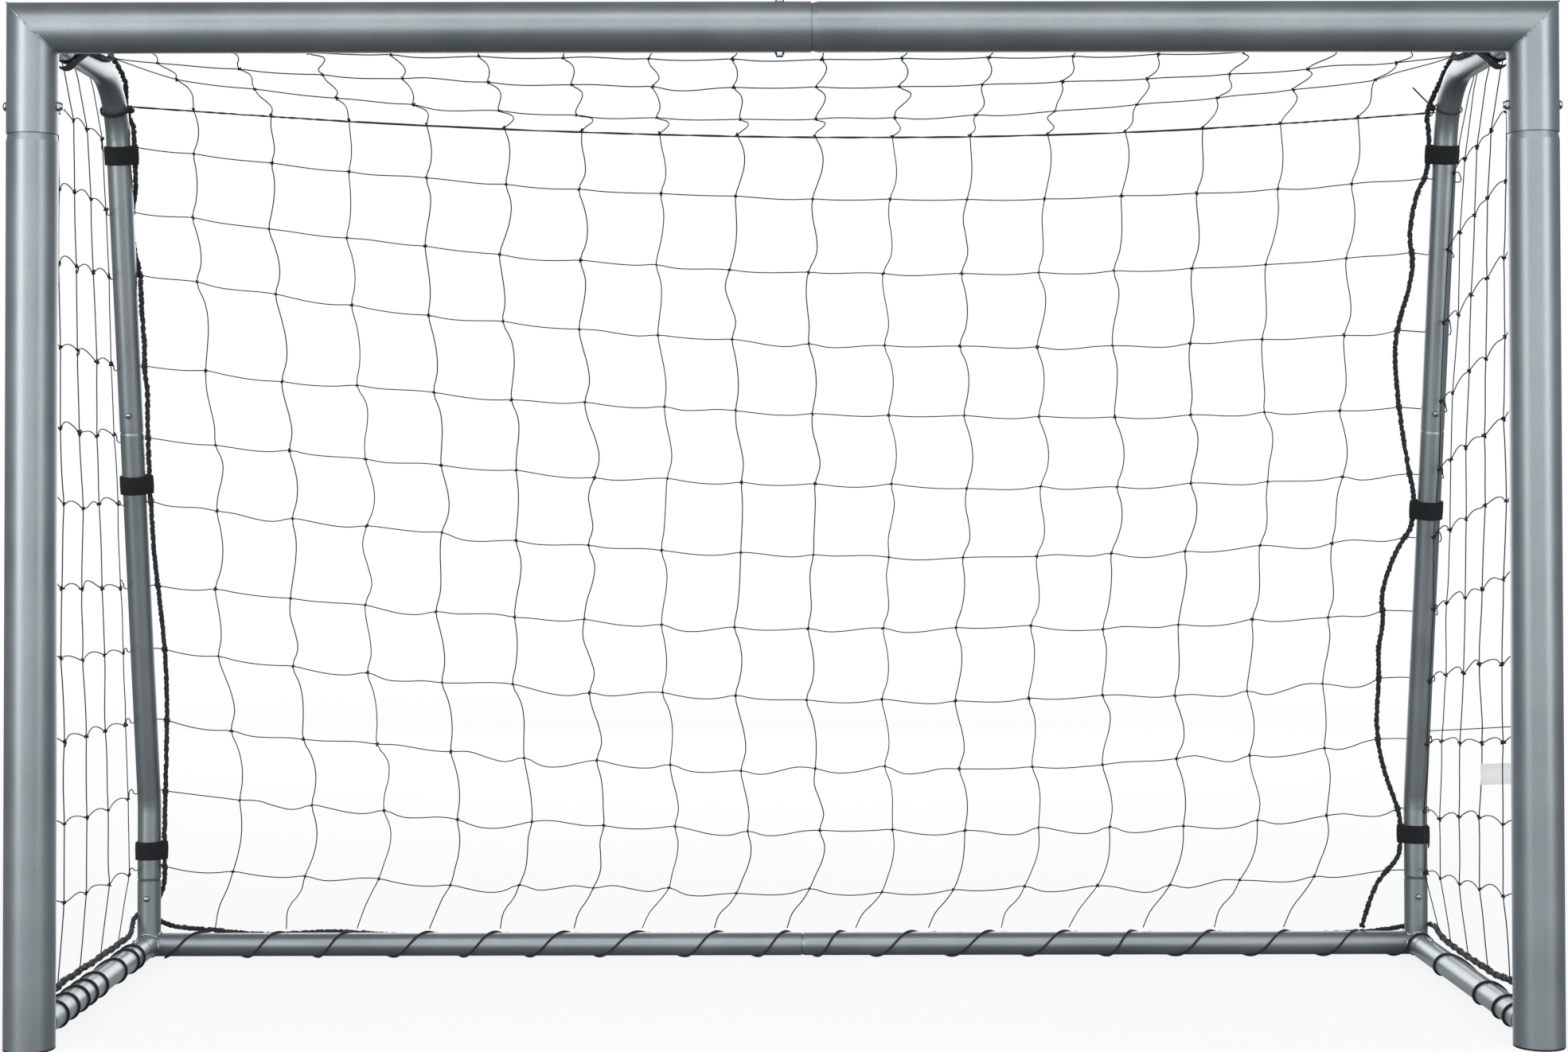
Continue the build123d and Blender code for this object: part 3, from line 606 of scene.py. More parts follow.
def knot_shape(size):
    """One small net knot, modelled as a closed twist of twine."""
    data = bpy.data.curves.new("knot_line", "CURVE")
    data.dimensions = "3D"
    data.bevel_depth = size * 0.27
    data.bevel_resolution = 0
    spline = data.splines.new("POLY")
    turns = 10
    spline.points.add(turns - 1)
    for i, point in enumerate(spline.points):
        a = math.tau * i / turns
        point.co = (size * (math.sin(a) + 1.4 * math.sin(2 * a)) / 3.4,
                    size * (math.cos(a) - 1.4 * math.cos(2 * a)) / 3.4,
                    -size * math.sin(3 * a) / 3.0, 1.0)
    spline.use_cyclic_u = True
    choose(link("knot_line", data))
    bpy.ops.object.convert(target="MESH")
    obj = bpy.context.view_layer.objects.active
    points = np.array([v.co for v in obj.data.vertices], float)
    faces = [list(p.vertices) for p in obj.data.polygons]
    bpy.data.objects.remove(obj)
    return points, faces


def any_turn(rng):
    """A random rotation."""
    turn, _ = np.linalg.qr(rng.normal(size=(3, 3)))
    turn[:, 0] *= np.sign(np.linalg.det(turn))
    return turn


def knots_at(name, places, size, seed):
    """Knots at the given points, each turned its own way."""
    rng = np.random.default_rng(seed)
    points, faces = knot_shape(size)
    corners = sum(len(f) for f in faces)
    parts = []
    for at in places:
        turn = any_turn(rng)
        scale = rng.uniform(0.85, 1.2)
        parts.append((points @ turn.T * scale + np.array(at), faces, np.zeros((corners, 2))))
    return mesh_piece(name, parts)


def finished_net(strands, knot_places, node, seed, knot=0.0034):
    """Turns strands to mesh and joins the knots on: one net panel."""
    choose(strands)
    bpy.ops.object.convert(target="MESH")
    panel = bpy.context.view_layer.objects.active
    knots = knots_at(f"{node}_knots", knot_places, knot, seed)
    choose(panel)
    knots.select_set(True)
    bpy.context.view_layer.objects.active = panel
    bpy.ops.object.join()
    panel.name = f"{node}_twine"
    panel.data.name = panel.name
    bpy.ops.object.shade_smooth()
    return dress(panel, "twine", "net_twine", node)


def row_height(row, x):
    """Height of a back row at X, through its three given heights, in mm."""
    left, centre, right = row
    t = x / 850.0
    return centre + (right - left) / 2 * t + ((left + right) / 2 - centre) * t * t


def back_depth(height):
    """Distance of the hanging back panel behind the post axes, in mm."""
    return 576.0 - 0.1644 * (height - 62.0)


def line_height(x):
    """Height of the tension line at X, in mm."""
    xs, zs = zip(*TENSION_LINE)
    return float(np.interp(x, xs, zs))


def column_x(i, height, row_shift):
    """X of a column's knot: the columns draw together a little at the sides lower down."""
    x = COLUMN_MIDDLE + (i - (NET_COLUMNS - 1) / 2) * COLUMN_STEP
    return x + row_shift + 0.012 * (x / 780.0) * (height - 600.0) * 2


# ---------------------------------------------------------------- settings
class GoalCords(bpy.types.PropertyGroup):
    rope: bpy.props.FloatProperty(name="Border rope", description="Diameter of the net's border rope",
                                  default=7.0 * MM, min=0.004, max=0.009, unit="LENGTH")
    lace: bpy.props.FloatProperty(name="Lacing cord",
                                  description="Diameter of the cord round the ground tubes",
                                  default=3.0 * MM, min=0.0015, max=0.004, unit="LENGTH")
    line: bpy.props.FloatProperty(name="Tension line",
                                  description="Diameter of the line between the uprights",
                                  default=2.5 * MM, min=0.0015, max=0.004, unit="LENGTH")


class GoalNet(bpy.types.PropertyGroup):
    twine: bpy.props.FloatProperty(name="Twine", description="Diameter of the net twine",
                                   default=1.55 * MM, min=0.001, max=0.003, unit="LENGTH")
    slack: bpy.props.FloatProperty(name="Slack", description="How far the strands bow between knots",
                                   default=9.0 * MM, min=0.0, max=0.02, unit="LENGTH")
    seed: bpy.props.IntProperty(name="Seed", description="Another seed hangs the net another way",
                                default=7, min=0)


class GoalFinish(bpy.types.PropertyGroup):
    paint: bpy.props.StringProperty(name="Paint", description="Powder coat colour, sRGB hex",
                                    default="#9ca2a5")
    paint_shade: bpy.props.StringProperty(name="Paint shade", description="Its darker patches, sRGB hex",
                                          default="#8e9598")
    # painted highlight colour of the yarn crowns in the ropes and lacing
    cord: bpy.props.StringProperty(name="Cord", description="Lit yarns of the ropes and lacing, sRGB hex",
                                   default="#25272a")
    # painted highlight colour of the net's fibres
    twine: bpy.props.StringProperty(name="Twine", description="Lit fibres of the net, sRGB hex",
                                    default="#232426")


class GoalStage(bpy.types.PropertyGroup):
    distance: bpy.props.FloatProperty(name="Camera distance", description="Camera in front of the posts",
                                      default=3.0019, min=1.0, max=20.0, unit="LENGTH")
    height: bpy.props.FloatProperty(name="Camera height", description="Camera above the ground",
                                    default=0.6599, min=0.05, max=5.0, unit="LENGTH")
    brightness: bpy.props.FloatProperty(name="Brightness", description="Strength of the studio lights",
                                        default=1.0, min=0.1, max=5.0, subtype="FACTOR")


# ---------------------------------------------------------------- stage
def softbox(name, at, target, size, power):
    """Rectangular studio light aimed at a point."""
    data = bpy.data.lights.new(name, "AREA")
    data.shape = "RECTANGLE"
    data.size, data.size_y = size
    data.energy = power
    light = link(name, data)
    light.location = at
    light.rotation_euler = (Vector(target) - Vector(at)).to_track_quat("-Z", "Y").to_euler()
    light.visible_camera = False


LENS, SENSOR = 58.57, 36.0  # mm
LENS_SHIFT = (0.0038, -0.0549)
CAMERA_X = -0.0115
CAMERA_TURN = (math.pi / 2 + 0.0176, 0.0015, -0.0016)
SKY = [(0.30, "#32373a"), (0.48, "#80868a"), (0.62, "#858b8f"), (1.0, "#6c7276")]  # from nadir to zenith
BEHIND = "#e2e6e8"  # pale wall behind the goal, which the tubes reflect
SOFTBOXES = {  # where each stands, what it aims at, its width and height in m, and its power in W
    "key": ((-2.7, -2.9, 1.3), (0, 0, 0.6), (1.3, 2.8), 59),
    "fill": ((2.9, -2.7, 1.3), (0, 0, 0.6), (1.3, 2.6), 45),
    "front": ((0.0, -5.2, 1.3), (0, 0, 0.7), (4.5, 3.0), 64),
    "top": ((0.0, -2.5, 3.3), (0, -0.3, 1.0), (4.2, 1.1), 42),
    "back": ((0.0, 3.4, 1.3), (0, 0, 0.6), (3.2, 2.4), 60),
}


class GOAL_OT_stage(bpy.types.Operator):
    """Sets up the camera, the paper floor and the soft studio light"""
    bl_idname = "goal.stage"
    bl_label = "Stage"

    def execute(self, context):
        settings = context.scene.goal_stage
        data = bpy.data.cameras.new("camera")
        data.lens, data.sensor_width = LENS, SENSOR
        data.shift_x, data.shift_y = LENS_SHIFT
        camera = link("camera", data)
        camera.location = (CAMERA_X, FRONT_Y - settings.distance, settings.height)
        camera.rotation_euler = CAMERA_TURN
        context.scene.camera = camera
        context.scene.view_settings.view_transform = "Standard"

        deselect()
        bpy.ops.mesh.primitive_circle_add(vertices=64, radius=6.5, fill_type="TRIFAN")
        floor = context.view_layer.objects.active
        floor.name = "floor"
        floor.data.materials.append(finish_of("paper"))

        world = bpy.data.worlds.new("studio")
        context.scene.world = world
        world.use_nodes = True
        tree = world.node_tree
        tree.nodes.clear()
        seen = add(tree, "ShaderNodeBackground", {"Color": linear("#ffffff"), "Strength": 1.0})
        aim = add(tree, "ShaderNodeTexCoord").outputs["Generated"]
        aim_parts = add(tree, "ShaderNodeSeparateXYZ", {"Vector": aim})
        height = add(tree, "ShaderNodeMapRange", {"Value": aim_parts.outputs["Z"], "From Min": -1.0})
        sky = ramp(tree, height.outputs["Result"], SKY)
        behind = add(tree, "ShaderNodeMapRange", {"Value": aim_parts.outputs["Y"], "From Min": 0.86,
                                                  "From Max": 0.97})
        sky = add(tree, "ShaderNodeMix", {0: behind.outputs["Result"], 6: sky.outputs["Color"],
                                          7: linear(BEHIND)}, data_type="RGBA")
        light = add(tree, "ShaderNodeBackground", {"Color": sky.outputs[2],
                                                   "Strength": 1.25 * settings.brightness})
        rays = add(tree, "ShaderNodeLightPath")
        both = add(tree, "ShaderNodeMixShader", {0: rays.outputs["Is Camera Ray"],
                                                 1: light.outputs[0], 2: seen.outputs[0]})
        add(tree, "ShaderNodeOutputWorld", {"Surface": both.outputs[0]})

        for name, (at, target, size, power) in SOFTBOXES.items():
            softbox(name, at, target, size, power * settings.brightness)
        return {"FINISHED"}


# ---------------------------------------------------------------- cords
ROPE_PITCH = 21.0 * MM  # length of one turn of the border rope's strands
WHISKERS_PER_M = 190
TIE_TWINE = 1.9 * MM  # twine that ties the net to the rope
CLUMP = 5.2 * MM  # half the width of a knot in the rope


def finished_cord(cord, diameter, lay, finish, node):
    """Dresses a cord, which stands for one node of the frame."""
    dress(cord, finish, "black_cord", node)


class GOAL_OT_border_ropes(bpy.types.Operator):
    """Lays the net's border rope beside both uprights and round the base"""
    bl_idname = "goal.border_ropes"
    bl_label = "Border ropes"

    def execute(self, context):
        diameter = context.scene.goal_cords.rope
        size = diameter / 7.0
        base = ([beside(-1, *s) for s in BASE_RUN["left"]]
                + [beside(1, *s) for s in BASE_RUN["right"][-2::-1]])
        routes = {
            "left": ([beside(-1, *s) for s in ROPE_LEFT], "taut", 1.51),
            "right": ([beside(1, *s) for s in ROPE_RIGHT], "hanging", 1.55),
            "base": (base, "loose", 2.91),
        }
        for seed, (name, (route, lay, length)) in enumerate(routes.items()):
            line = route_line(f"rope_{name}_route", route, 26)
            LINES[name] = line
            parts = twisted(line, 3, 1.95 * size, 1.65 * size, ROPE_PITCH, seed + 3, lumps=0.5)
            parts += whiskers(line, 5.6 * size, int(length * WHISKERS_PER_M), seed + 20)
            parts += self.knots(name, line)
            ties = [nearest(line, p) for p in self.ties(name, line)]
            parts += wraps(line, ties, 3.7 * size, 3, TIE_TWINE, seed + 40)
            finished_cord(mesh_piece(f"rope_{name}", parts), diameter, lay, "rope",
                          f"border_rope_{name}")
        return {"FINISHED"}

    def knots(self, name, line):
        """Clumps where the rope is hitched to the base, and where its tail ends in a knot."""
        rng = np.random.default_rng(17)
        points, faces = knot_shape(CLUMP)
        corners = sum(len(f) for f in faces)
        hitched = []
        if name == "base":
            hitched = [beside(side, -8, depth, 45) for side in SIDES.values()
                       for depth in (150, 178, 254, 362, 300 if side > 0 else 440)]
        elif name == "right":
            hitched = [Vector(line[-2]), Vector(line[-14])]
        made = []
        for at in hitched:
            centre = line[nearest(line, at)]
            for _ in range(2):
                turn = any_turn(rng)
                made.append((points @ turn.T + centre + rng.normal(size=3) * 0.0007, faces,
                             np.zeros((corners, 2))))
        return made

    def ties(self, name, line):
        """Points of a rope where net rows and columns are tied to it."""
        if name == "base":
            return ([place(column_x(i, 40, -22), 596, 38) for i in range(NET_COLUMNS)]
                    + [beside(side, -8, depth, 45) for side in SIDES.values()
                       for depth in range(70, 480, 34)])
        return [rope_point(line, upright_row(name, k)) for k in range(len(BACK_ROWS))]


def upright_row(name, k):
    """Height in mm at which a back row meets the rope of that side."""
    left, _, right = BACK_ROWS[k]
    return left if name == "left" else right


def rope_point(line, height):
    """Point of a rope's hanging run at a height in mm."""
    hanging = line[line[:, 1] > FRONT_Y + 0.33]
    return Vector(hanging[int(np.argmin(np.abs(hanging[:, 2] - height * MM)))])


def on_rope(line, point):
    """Point of a rope nearest to a given one."""
    return Vector(line[nearest(line, point)])


class GOAL_OT_tension_line(bpy.types.Operator):
    """Strings the tension line between the uprights and ties its ends"""
    bl_idname = "goal.tension_line"
    bl_label = "Tension line and ties"

    def execute(self, context):
        diameter = context.scene.goal_cords.line
        route = [place(x, LINE_DEPTH, z) for x, z in TENSION_LINE]
        line = route_line("line_route", route)
        strung = mesh_piece("line", twisted(line, 2, 0.72 * diameter / 2, 0.48 * diameter / 2, 0.009, 5,
                                            lumps=0.05, sides=6))
        finished_cord(strung, diameter, "taut", "lace", "tension_line")
        self.tie("left", 3.0, 5)
        self.tie("right", 2.0, 2)
        return {"FINISHED"}

    def tie(self, name, thickness, tail_turns):
        """A few turns of cord round the upright's bend, a knot, and the tail left over."""
        side = SIDES[name]
        angle = math.radians(36)
        centre = place(side * POST_X / MM, 376.8, 1158.8)
        up = Vector((0, -math.sin(angle), math.cos(angle)))
        out = Vector((0, math.cos(angle), math.sin(angle)))
        inward = Vector((-side, 0, 0))
        reach = (TUBE + 0.9 + thickness / 2) * MM / RING_SHRINK
        turns = 2 if name == "left" else 1
        count = RING_POINTS * turns
        route = []
        for i in range(count + 1):
            a = math.tau * i / RING_POINTS
            rise = (i / count - 0.5) * thickness * (turns - 0.2) * 1.1 * MM
            route.append(centre + inward * reach * math.cos(a) + out * reach * math.sin(a) + up * rise)
        line = route_line(f"tie_{name}_route", route, 6)
        parts = twisted(line, 2, 0.36 * thickness * MM, 0.2 * thickness * MM, 0.008, 11, lumps=0.1, sides=6)
        finished_cord(mesh_piece(f"tie_{name}", parts), thickness * MM, "taut", "lace",
                      f"line_tie_{name}")
        knot_points = [centre + inward * (reach + 0.002) + up * k * 0.0022 for k in (-1, 0, 1)]
        knot = knots_at(f"tie_knot_{name}", knot_points, 0.0052, 8 + side)
        if name == "right":
            start = centre + inward * (reach + 0.003)
            tail = route_line("tail_route", [start, start + Vector((-0.006, -0.002, 0.007)),
                                             start + Vector((-0.014, -0.006, 0.013)),
                                             start + Vector((-0.028, -0.010, 0.026))], 6)
            loop_centre = start + Vector((-0.004, -0.002, -0.005))
            loop = np.array([loop_centre + Vector((0.0045 * math.cos(a), 0.001, 0.006 * math.sin(a)))
                             for a in np.linspace(0.4, math.tau, 16)])
            spare = mesh_piece("tie_tail_right", [tube(tail, 0.0010, 6), tube(loop, 0.0009, 6)])
            choose(spare)
            knot.select_set(True)
            bpy.context.view_layer.objects.active = knot
            bpy.ops.object.join()
        dress(knot, "lace", "black_cord")


class GOAL_OT_lacing(bpy.types.Operator):
    """Winds the lacing cord round the rear bar and the side tubes"""
    bl_idname = "goal.lacing"
    bl_label = "Lacing"

    def execute(self, context):
        diameter = context.scene.goal_cords.lace
        self.wind("rear", self.rear_route(), diameter)
        self.wind("left", self.side_route(-1, [486, 456, 389, 295, 246, 206, 160, 112], 0.16), diameter)
        self.wind("right", self.side_route(1, [431, 240, 154, 110], 0.55), diameter)
        return {"FINISHED"}

    def wind(self, name, route, diameter):
        line = route_line(f"lacing_{name}_route", route, 5)
        finished_cord(mesh_piece(f"lace_{name}", [tube(line, diameter / 2, 8)]), diameter,
                      "taut", "lace", f"lacing_{name}")

    def rear_route(self):
        """Each turn climbs the front of the bar to the right, and drops straight behind it. The last
        one goes on over the side stub, in front of the upright."""
        reach = (TUBE + 1.25) / RING_SHRINK
        under = [x for x, _ in REAR_TURNS[1:]] + [855]
        route = []
        for (low, top), after in zip(REAR_TURNS, under):
            for i in range(RING_POINTS):
                angle = math.radians(-100 - 30 * i)  # from under the bar, up its front, down behind
                x = low + (top - low) * min(i / 6.0, 1.0) + (after - top) * max((i - 6) / 6.0, 0.0)
                route.append(place(x, REAR_DEPTH + reach * math.cos(angle),
                                   BASE_HEIGHT + reach * math.sin(angle)))
        route.append(place(855, 571, 1.2))
        for i, depth in enumerate((557, 549, 545, 544, 545, 547, 549)):
            angle = math.radians(205 - 30 * i)
            route.append(beside(1, -reach * math.cos(angle), depth, BASE_HEIGHT + reach * math.sin(angle)))
        return route

    def side_route(self, side, turns, slant):
        """Separate turns round a side tube; the cord steps along between them on the outer side."""
        reach = (TUBE + 1.25) / RING_SHRINK
        route = []
        for here, after in zip(turns, turns[1:] + [turns[-1] - 4]):
            for i in range(RING_POINTS):
                angle = math.radians(250 + 30 * i)  # starts under the tube, comes up its inner side
                share = i / RING_POINTS
                held = here - slant * 60 * min(share / 0.5, 1.0)
                step = max(0.0, (share - 0.5) / 0.5)
                depth = held + (after - held) * step * step * (3 - 2 * step)
                route.append(beside(side, reach * math.cos(angle), depth,
                                    BASE_HEIGHT + reach * math.sin(angle)))
        return route


# ---------------------------------------------------------------- net
class GOAL_OT_net(bpy.types.Operator):
    """Knots the net: back, roof and the two sides"""
    bl_idname = "goal.net"
    bl_label = "Net"

    def execute(self, context):
        settings = context.scene.goal_net
        self.twine = settings.twine
        self.slack = settings.slack / MM
        self.seed = settings.seed
        back = self.back()
        self.roof(back)
        for name, side in SIDES.items():
            self.side(name, side)
        return {"FINISHED"}

    def bow(self, i, k):
        """How much a strand bows and curls; neighbours are alike, as they hang from one row."""
        soft = wander(i * 0.33, k * 1.9, self.seed)
        sharp = wander(i * 1.7, k * 2.7, self.seed + 5)
        return self.slack * (0.75 + 1.3 * soft), self.slack * (0.9 * sharp + 0.5 * soft)

    def back(self):
        strands = strand_set("net_back_strands", self.twine)
        grid = []
        for k, row in enumerate(BACK_ROWS):
            knots = []
            for i in range(NET_COLUMNS):
                rough = row_height(row, COLUMN_MIDDLE + (i - 7.5) * COLUMN_STEP)
                x = column_x(i, rough, ROW_SHIFT[k]) + 7 * wander(i * 0.9, k * 1.3, 3.0)
                wave = (3 + k * 0.6) * wander(i * 0.8, k * 2.1, 8.0)
                z = row_height(row, x) + wave
                knots.append(place(x, back_depth(z) + 5 * wander(i * 0.5, k * 0.7, 1.0), z))
            grid.append(knots)
        for k, knots in enumerate(grid):
            left = rope_point(LINES["left"], BACK_ROWS[k][0])
            right = rope_point(LINES["right"], BACK_ROWS[k][2])
            add_slack_strand(strands, [left] + knots + [right], (0, 0.1, 1), lambda i: (
                (-1.5 - 0.35 * k) + (3 + 0.8 * k) * wander(i * 0.9, k * 1.7, 21.0),
                (2 + 0.7 * k) * wander(i * 1.1, k * 2.3, 27.0)))
        ties = []
        for i in range(NET_COLUMNS):
            on_line = place(column_x(i, 1130, 8), LINE_DEPTH, line_height(column_x(i, 1130, 8)) + 2.2)
            foot = place(column_x(i, 40, -30 + 6 * wander(i * 0.7, 3.0, 2.0)), 595.5, 37)
            ties.append(on_line)
            line = [on_line] + [knots[i] for knots in grid]
            last = line[-1]
            kink = wander(i * 0.6, 9.0, 4.0)
            add_slack_strand(strands, line, (1, 0, 0), lambda k: self.bow(i, k), after=[
                last.lerp(foot, 0.3) + Vector((-0.006 * kink, 0, 0.001)),
                last.lerp(foot, 0.62) + Vector((0.010 * kink - 0.004, 0.001, 0)), foot])
        places = [p for knots in grid for p in knots] + ties
        finished_net(strands, places, "net_back", 31)
        return ties

    def roof(self, ties):
        strands = strand_set("net_roof_strands", self.twine)
        depth, drop = EDGE_CORD["bar"]
        edge = [place(x, depth, BAR_Z + drop + (0 if j % 2 == 0 else -2.5))
                for j, x in enumerate(range(-875, 876, 125))]
        add_strand(strands, edge)
        grid = []
        for k, (depth_k, sag) in enumerate(ROOF_ROWS):
            knots = []
            for i in range(NET_COLUMNS):
                x = column_x(i, 1150, 8) + 9 * wander(i * 0.8, k * 1.4, 61.0)
                z = 1198 - sag * (1 - (x / 863) ** 2) + 3 * wander(i, k, 66.0)
                knots.append(place(x, depth_k + 8 * wander(i * 0.7, k, 71.0), z))
            grid.append(knots)
            left, right = [on_rope(LINES[name], beside(side, 22, depth_k, 1199))
                           for name, side in SIDES.items()]
            add_slack_strand(strands, [left] + knots + [right], (0, 0.3, 1), lambda i: (
                -1.5 + 4 * wander(i * 0.9, k * 1.7, 81.0), 2 * wander(i * 0.9, k * 1.7, 81.0)))
        for i in range(NET_COLUMNS):
            x = column_x(i, 1195, 8)
            start = place(x, depth, BAR_Z + drop - 1.5)
            line = [start] + [knots[i] for knots in grid] + [ties[i]]
            add_slack_strand(strands, line, (1, 0, 0.1), lambda k: (
                1.1 * self.bow(i, k + 20)[0], 1.3 * self.bow(i, k + 20)[1]))
        finished_net(strands, [p for knots in grid for p in knots], "net_roof", 37)

    def side(self, name, side):
        strands = strand_set(f"net_{name}_strands", self.twine)
        rope = LINES[name]
        heights = SIDE_ROWS[name]
        edge_depth = EDGE_CORD["post"]
        places, grid = [], []
        edge = [place(side * POST_X / MM, edge_depth - 6, 1186)]
        edge += [place(side * POST_X / MM + 1.5 * math.sin(z), edge_depth + 1.5 * math.cos(z * 0.7), z)
                 for z in heights]
        edge += [place(side * POST_X / MM, edge_depth, 56)]
        add_strand(strands, edge)
        for z in (150, 350, 550, 750, 950):
            loop = [(0, edge_depth, z + 14), (5.5, 40, z + 7), (6.2, 36.4, z + 0.5), (0, 35.8, z - 1.6),
                    (-6.2, 36.4, z + 0.5), (-5.5, 40, z + 7), (0, edge_depth, z + 15)]
            add_strand(strands, [place(side * POST_X / MM + x, d, h) for x, d, h in loop])
        for k, height in enumerate(heights):
            rope_height = upright_row(name, k)
            tied = rope_point(rope, rope_height)
            axis_depth = upright_depth(rope_height) if k else 386.0  # the first row meets the bend
            wrap = [tied,
                    beside(side, 8, axis_depth + 19, rope_height - 2),
                    beside(side, -9, axis_depth + 19, rope_height - 4),
                    beside(side, -19, axis_depth + 3, rope_height - 6)]
            start = place(side * POST_X / MM, edge_depth, height)
            knots = []
            for i, share in enumerate(SIDE_COLUMNS[name]):
                depth = edge_depth + (axis_depth - edge_depth) * share
                depth += 8 * wander(i * 1.3, k * 0.8, 90.0 + side)
                droop = 10 * wander(i * 1.9, k * 1.5, 95.0 + side)
                z = height + (rope_height - 4 - height) * share + droop
                knots.append(place(side * (POST_X / MM + 2) + 5 * wander(i, k * 0.9, 99.0),
                                   depth, z))
            grid.append(knots)
            places += knots
            add_slack_strand(strands, [start] + knots + [wrap[-1]], (0.25 * side, 0, 1), lambda i: (
                7 + 7 * wander(i * 1.7, k * 2.9, 103.0 + side),
                5 * wander(i * 2.3, k * 1.1, 107.0 + side)), after=wrap[-2::-1])
        for i, share in enumerate(SIDE_COLUMNS[name]):
            first = grid[0][i]
            depth = min((first.y - FRONT_Y) / MM, 318)  # the top run is straight up to here
            over = [on_rope(rope, beside(side, 22, min(depth, 285), 1199)),
                    beside(side, 9, depth, BAR_Z + 16), beside(side, -9, depth, BAR_Z + 16),
                    beside(side, -17.8, depth, BAR_Z + 1)]
            near_side = LINES["base"][LINES["base"][:, 0] * side > 0.8]
            foot_depth = edge_depth + (548 - edge_depth) * share
            foot = on_rope(near_side, beside(side, 0, foot_depth, 50))
            line = over[-1:] + [knots[i] for knots in grid] + [foot]
            add_slack_strand(strands, line, (0.15 * side, 1, 0), lambda k: (
                (2.0 + 0.9 * k) * 2 * wander(i * 1.9, k * 1.3, 111.0 + side),
                (2.0 + 0.9 * k) * wander(i * 1.4, k * 2.2, 117.0 + side)), before=over[:-1])
        if name == "left":
            for k, i, size in ((2, 1, 4.5), (3, 1, 4.0), (2, 0, 2.6), (4, 1, 3.0), (8, 0, 3.5)):
                centre = grid[k][i] + Vector((0.001, 0.0, -size * MM))
                add_strand(strands, [centre + Vector((0.001 * math.cos(a), size * MM * math.sin(a),
                                                      size * MM * math.cos(a)))
                                     for a in np.linspace(0, math.tau * 1.05, 9)])
        else:
            add_strand(strands, [place(POST_X / MM + 1, edge_depth, 371),
                                 place(POST_X / MM + 3, 300, 343),
                                 place(POST_X / MM + 12, 536, 318)])
        finished_net(strands, places, f"net_{name}", 41 + side, 0.0041)


# ---------------------------------------------------------------- flat pieces
def shaped_grid(name, columns, rows, place_at, uv_at):
    """Grid whose vertices and UVs (in metres) are given for each column and row."""
    deselect()
    bpy.ops.mesh.primitive_grid_add(x_subdivisions=columns - 1, y_subdivisions=rows - 1, size=1.0)
    obj = bpy.context.view_layer.objects.active
    obj.name = name
    for vertex in obj.data.vertices:
        vertex.co = place_at(vertex.index % columns, vertex.index // columns)
    uv = obj.data.uv_layers.active.data
    for corner in obj.data.loops:
        uv[corner.index].uv = uv_at(corner.vertex_index % columns, corner.vertex_index // columns)
    return obj


def thickened(obj, thickness, smooth_angle, edge=0.0):
    """Gives a flat piece its thickness in mm, outward normals and, if asked, a rounded edge."""
    choose(obj)
    solid = obj.modifiers.new("thickness", "SOLIDIFY")
    solid.thickness = thickness * MM
    solid.offset = 0.0
    if edge:
        soft = obj.modifiers.new("edge", "BEVEL")
        soft.width = edge * MM
        soft.segments = 2
        soft.limit_method = "ANGLE"
    for modifier in obj.modifiers.keys():
        bpy.ops.object.modifier_apply(modifier=modifier)
    bpy.ops.object.mode_set(mode="EDIT")
    bpy.ops.mesh.select_all(action="SELECT")
    bpy.ops.mesh.normals_make_consistent(inside=False)
    bpy.ops.object.mode_set(mode="OBJECT")
    bpy.ops.object.shade_smooth_by_angle(angle=math.radians(smooth_angle))
    return obj


# ---------------------------------------------------------------- straps
def strap_outline(gap):
    """Section round a tube and the rope beside it, from the outer side round and back, in mm."""
    big, small, apart = TUBE + gap, 3.5 + gap, ROPE_INSET
    touch = math.acos((big - small) / apart)
    points = [(big * math.cos(a), big * math.sin(a)) for a in np.linspace(math.pi, touch, 14)]
    points += [(apart + small * math.cos(a), small * math.sin(a)) for a in np.linspace(touch, -touch, 7)]
    points += [(big * math.cos(a), big * math.sin(a)) for a in np.linspace(-touch, -math.pi, 14)]
    return points


def strap_band(name, centre, inward, forward, up, overlap, droop):
    """A hook-and-loop strap: one band from its under end, round, and over itself at the front."""
    outline = strap_outline(0.7)
    start = int(len(outline) * 0.80)  # the seam lies on the front of the tube
    ring = outline[start:] + outline[1:start + 1]
    extra = [outline[(start + k) % (len(outline) - 1)] for k in range(1, overlap)]
    path = [(x, y, 0.0) for x, y in ring]
    for k, (x, y) in enumerate(extra):
        grow = 1 + min(k + 1, 2) * 0.9 / 17
        path.append((x * grow, y * grow, droop * (k / max(1, len(extra) - 1)) ** 2))
    strips = 6
    long = distances(np.array([(x, y, 0.0) for x, y, _ in path]))
    wide = [(-0.5 + r / strips) * STRAP_WIDTH for r in range(strips + 1)]

    def place_at(c, r):
        x, y, down = path[c]
        bulge = 0.35 * math.cos(math.pi * (r / strips - 0.5)) + 0.12 * math.sin(c * 1.9 + r)
        size = 1 + bulge / 18
        return centre + inward * x * size * MM + forward * -y * size * MM + up * (wide[r] - down) * MM

    band = shaped_grid(name, len(path), strips + 1, place_at, lambda c, r: (long[c] * MM, wide[r] * MM))
    return thickened(band, STRAP_THICKNESS, 40, edge=0.45)


def joined(name, objects):
    """Joins pieces into one and names it."""
    choose(objects[0])
    for obj in objects[1:]:
        obj.select_set(True)
    bpy.ops.object.join()
    whole = bpy.context.view_layer.objects.active
    whole.name = name
    whole.data.name = name
    return whole


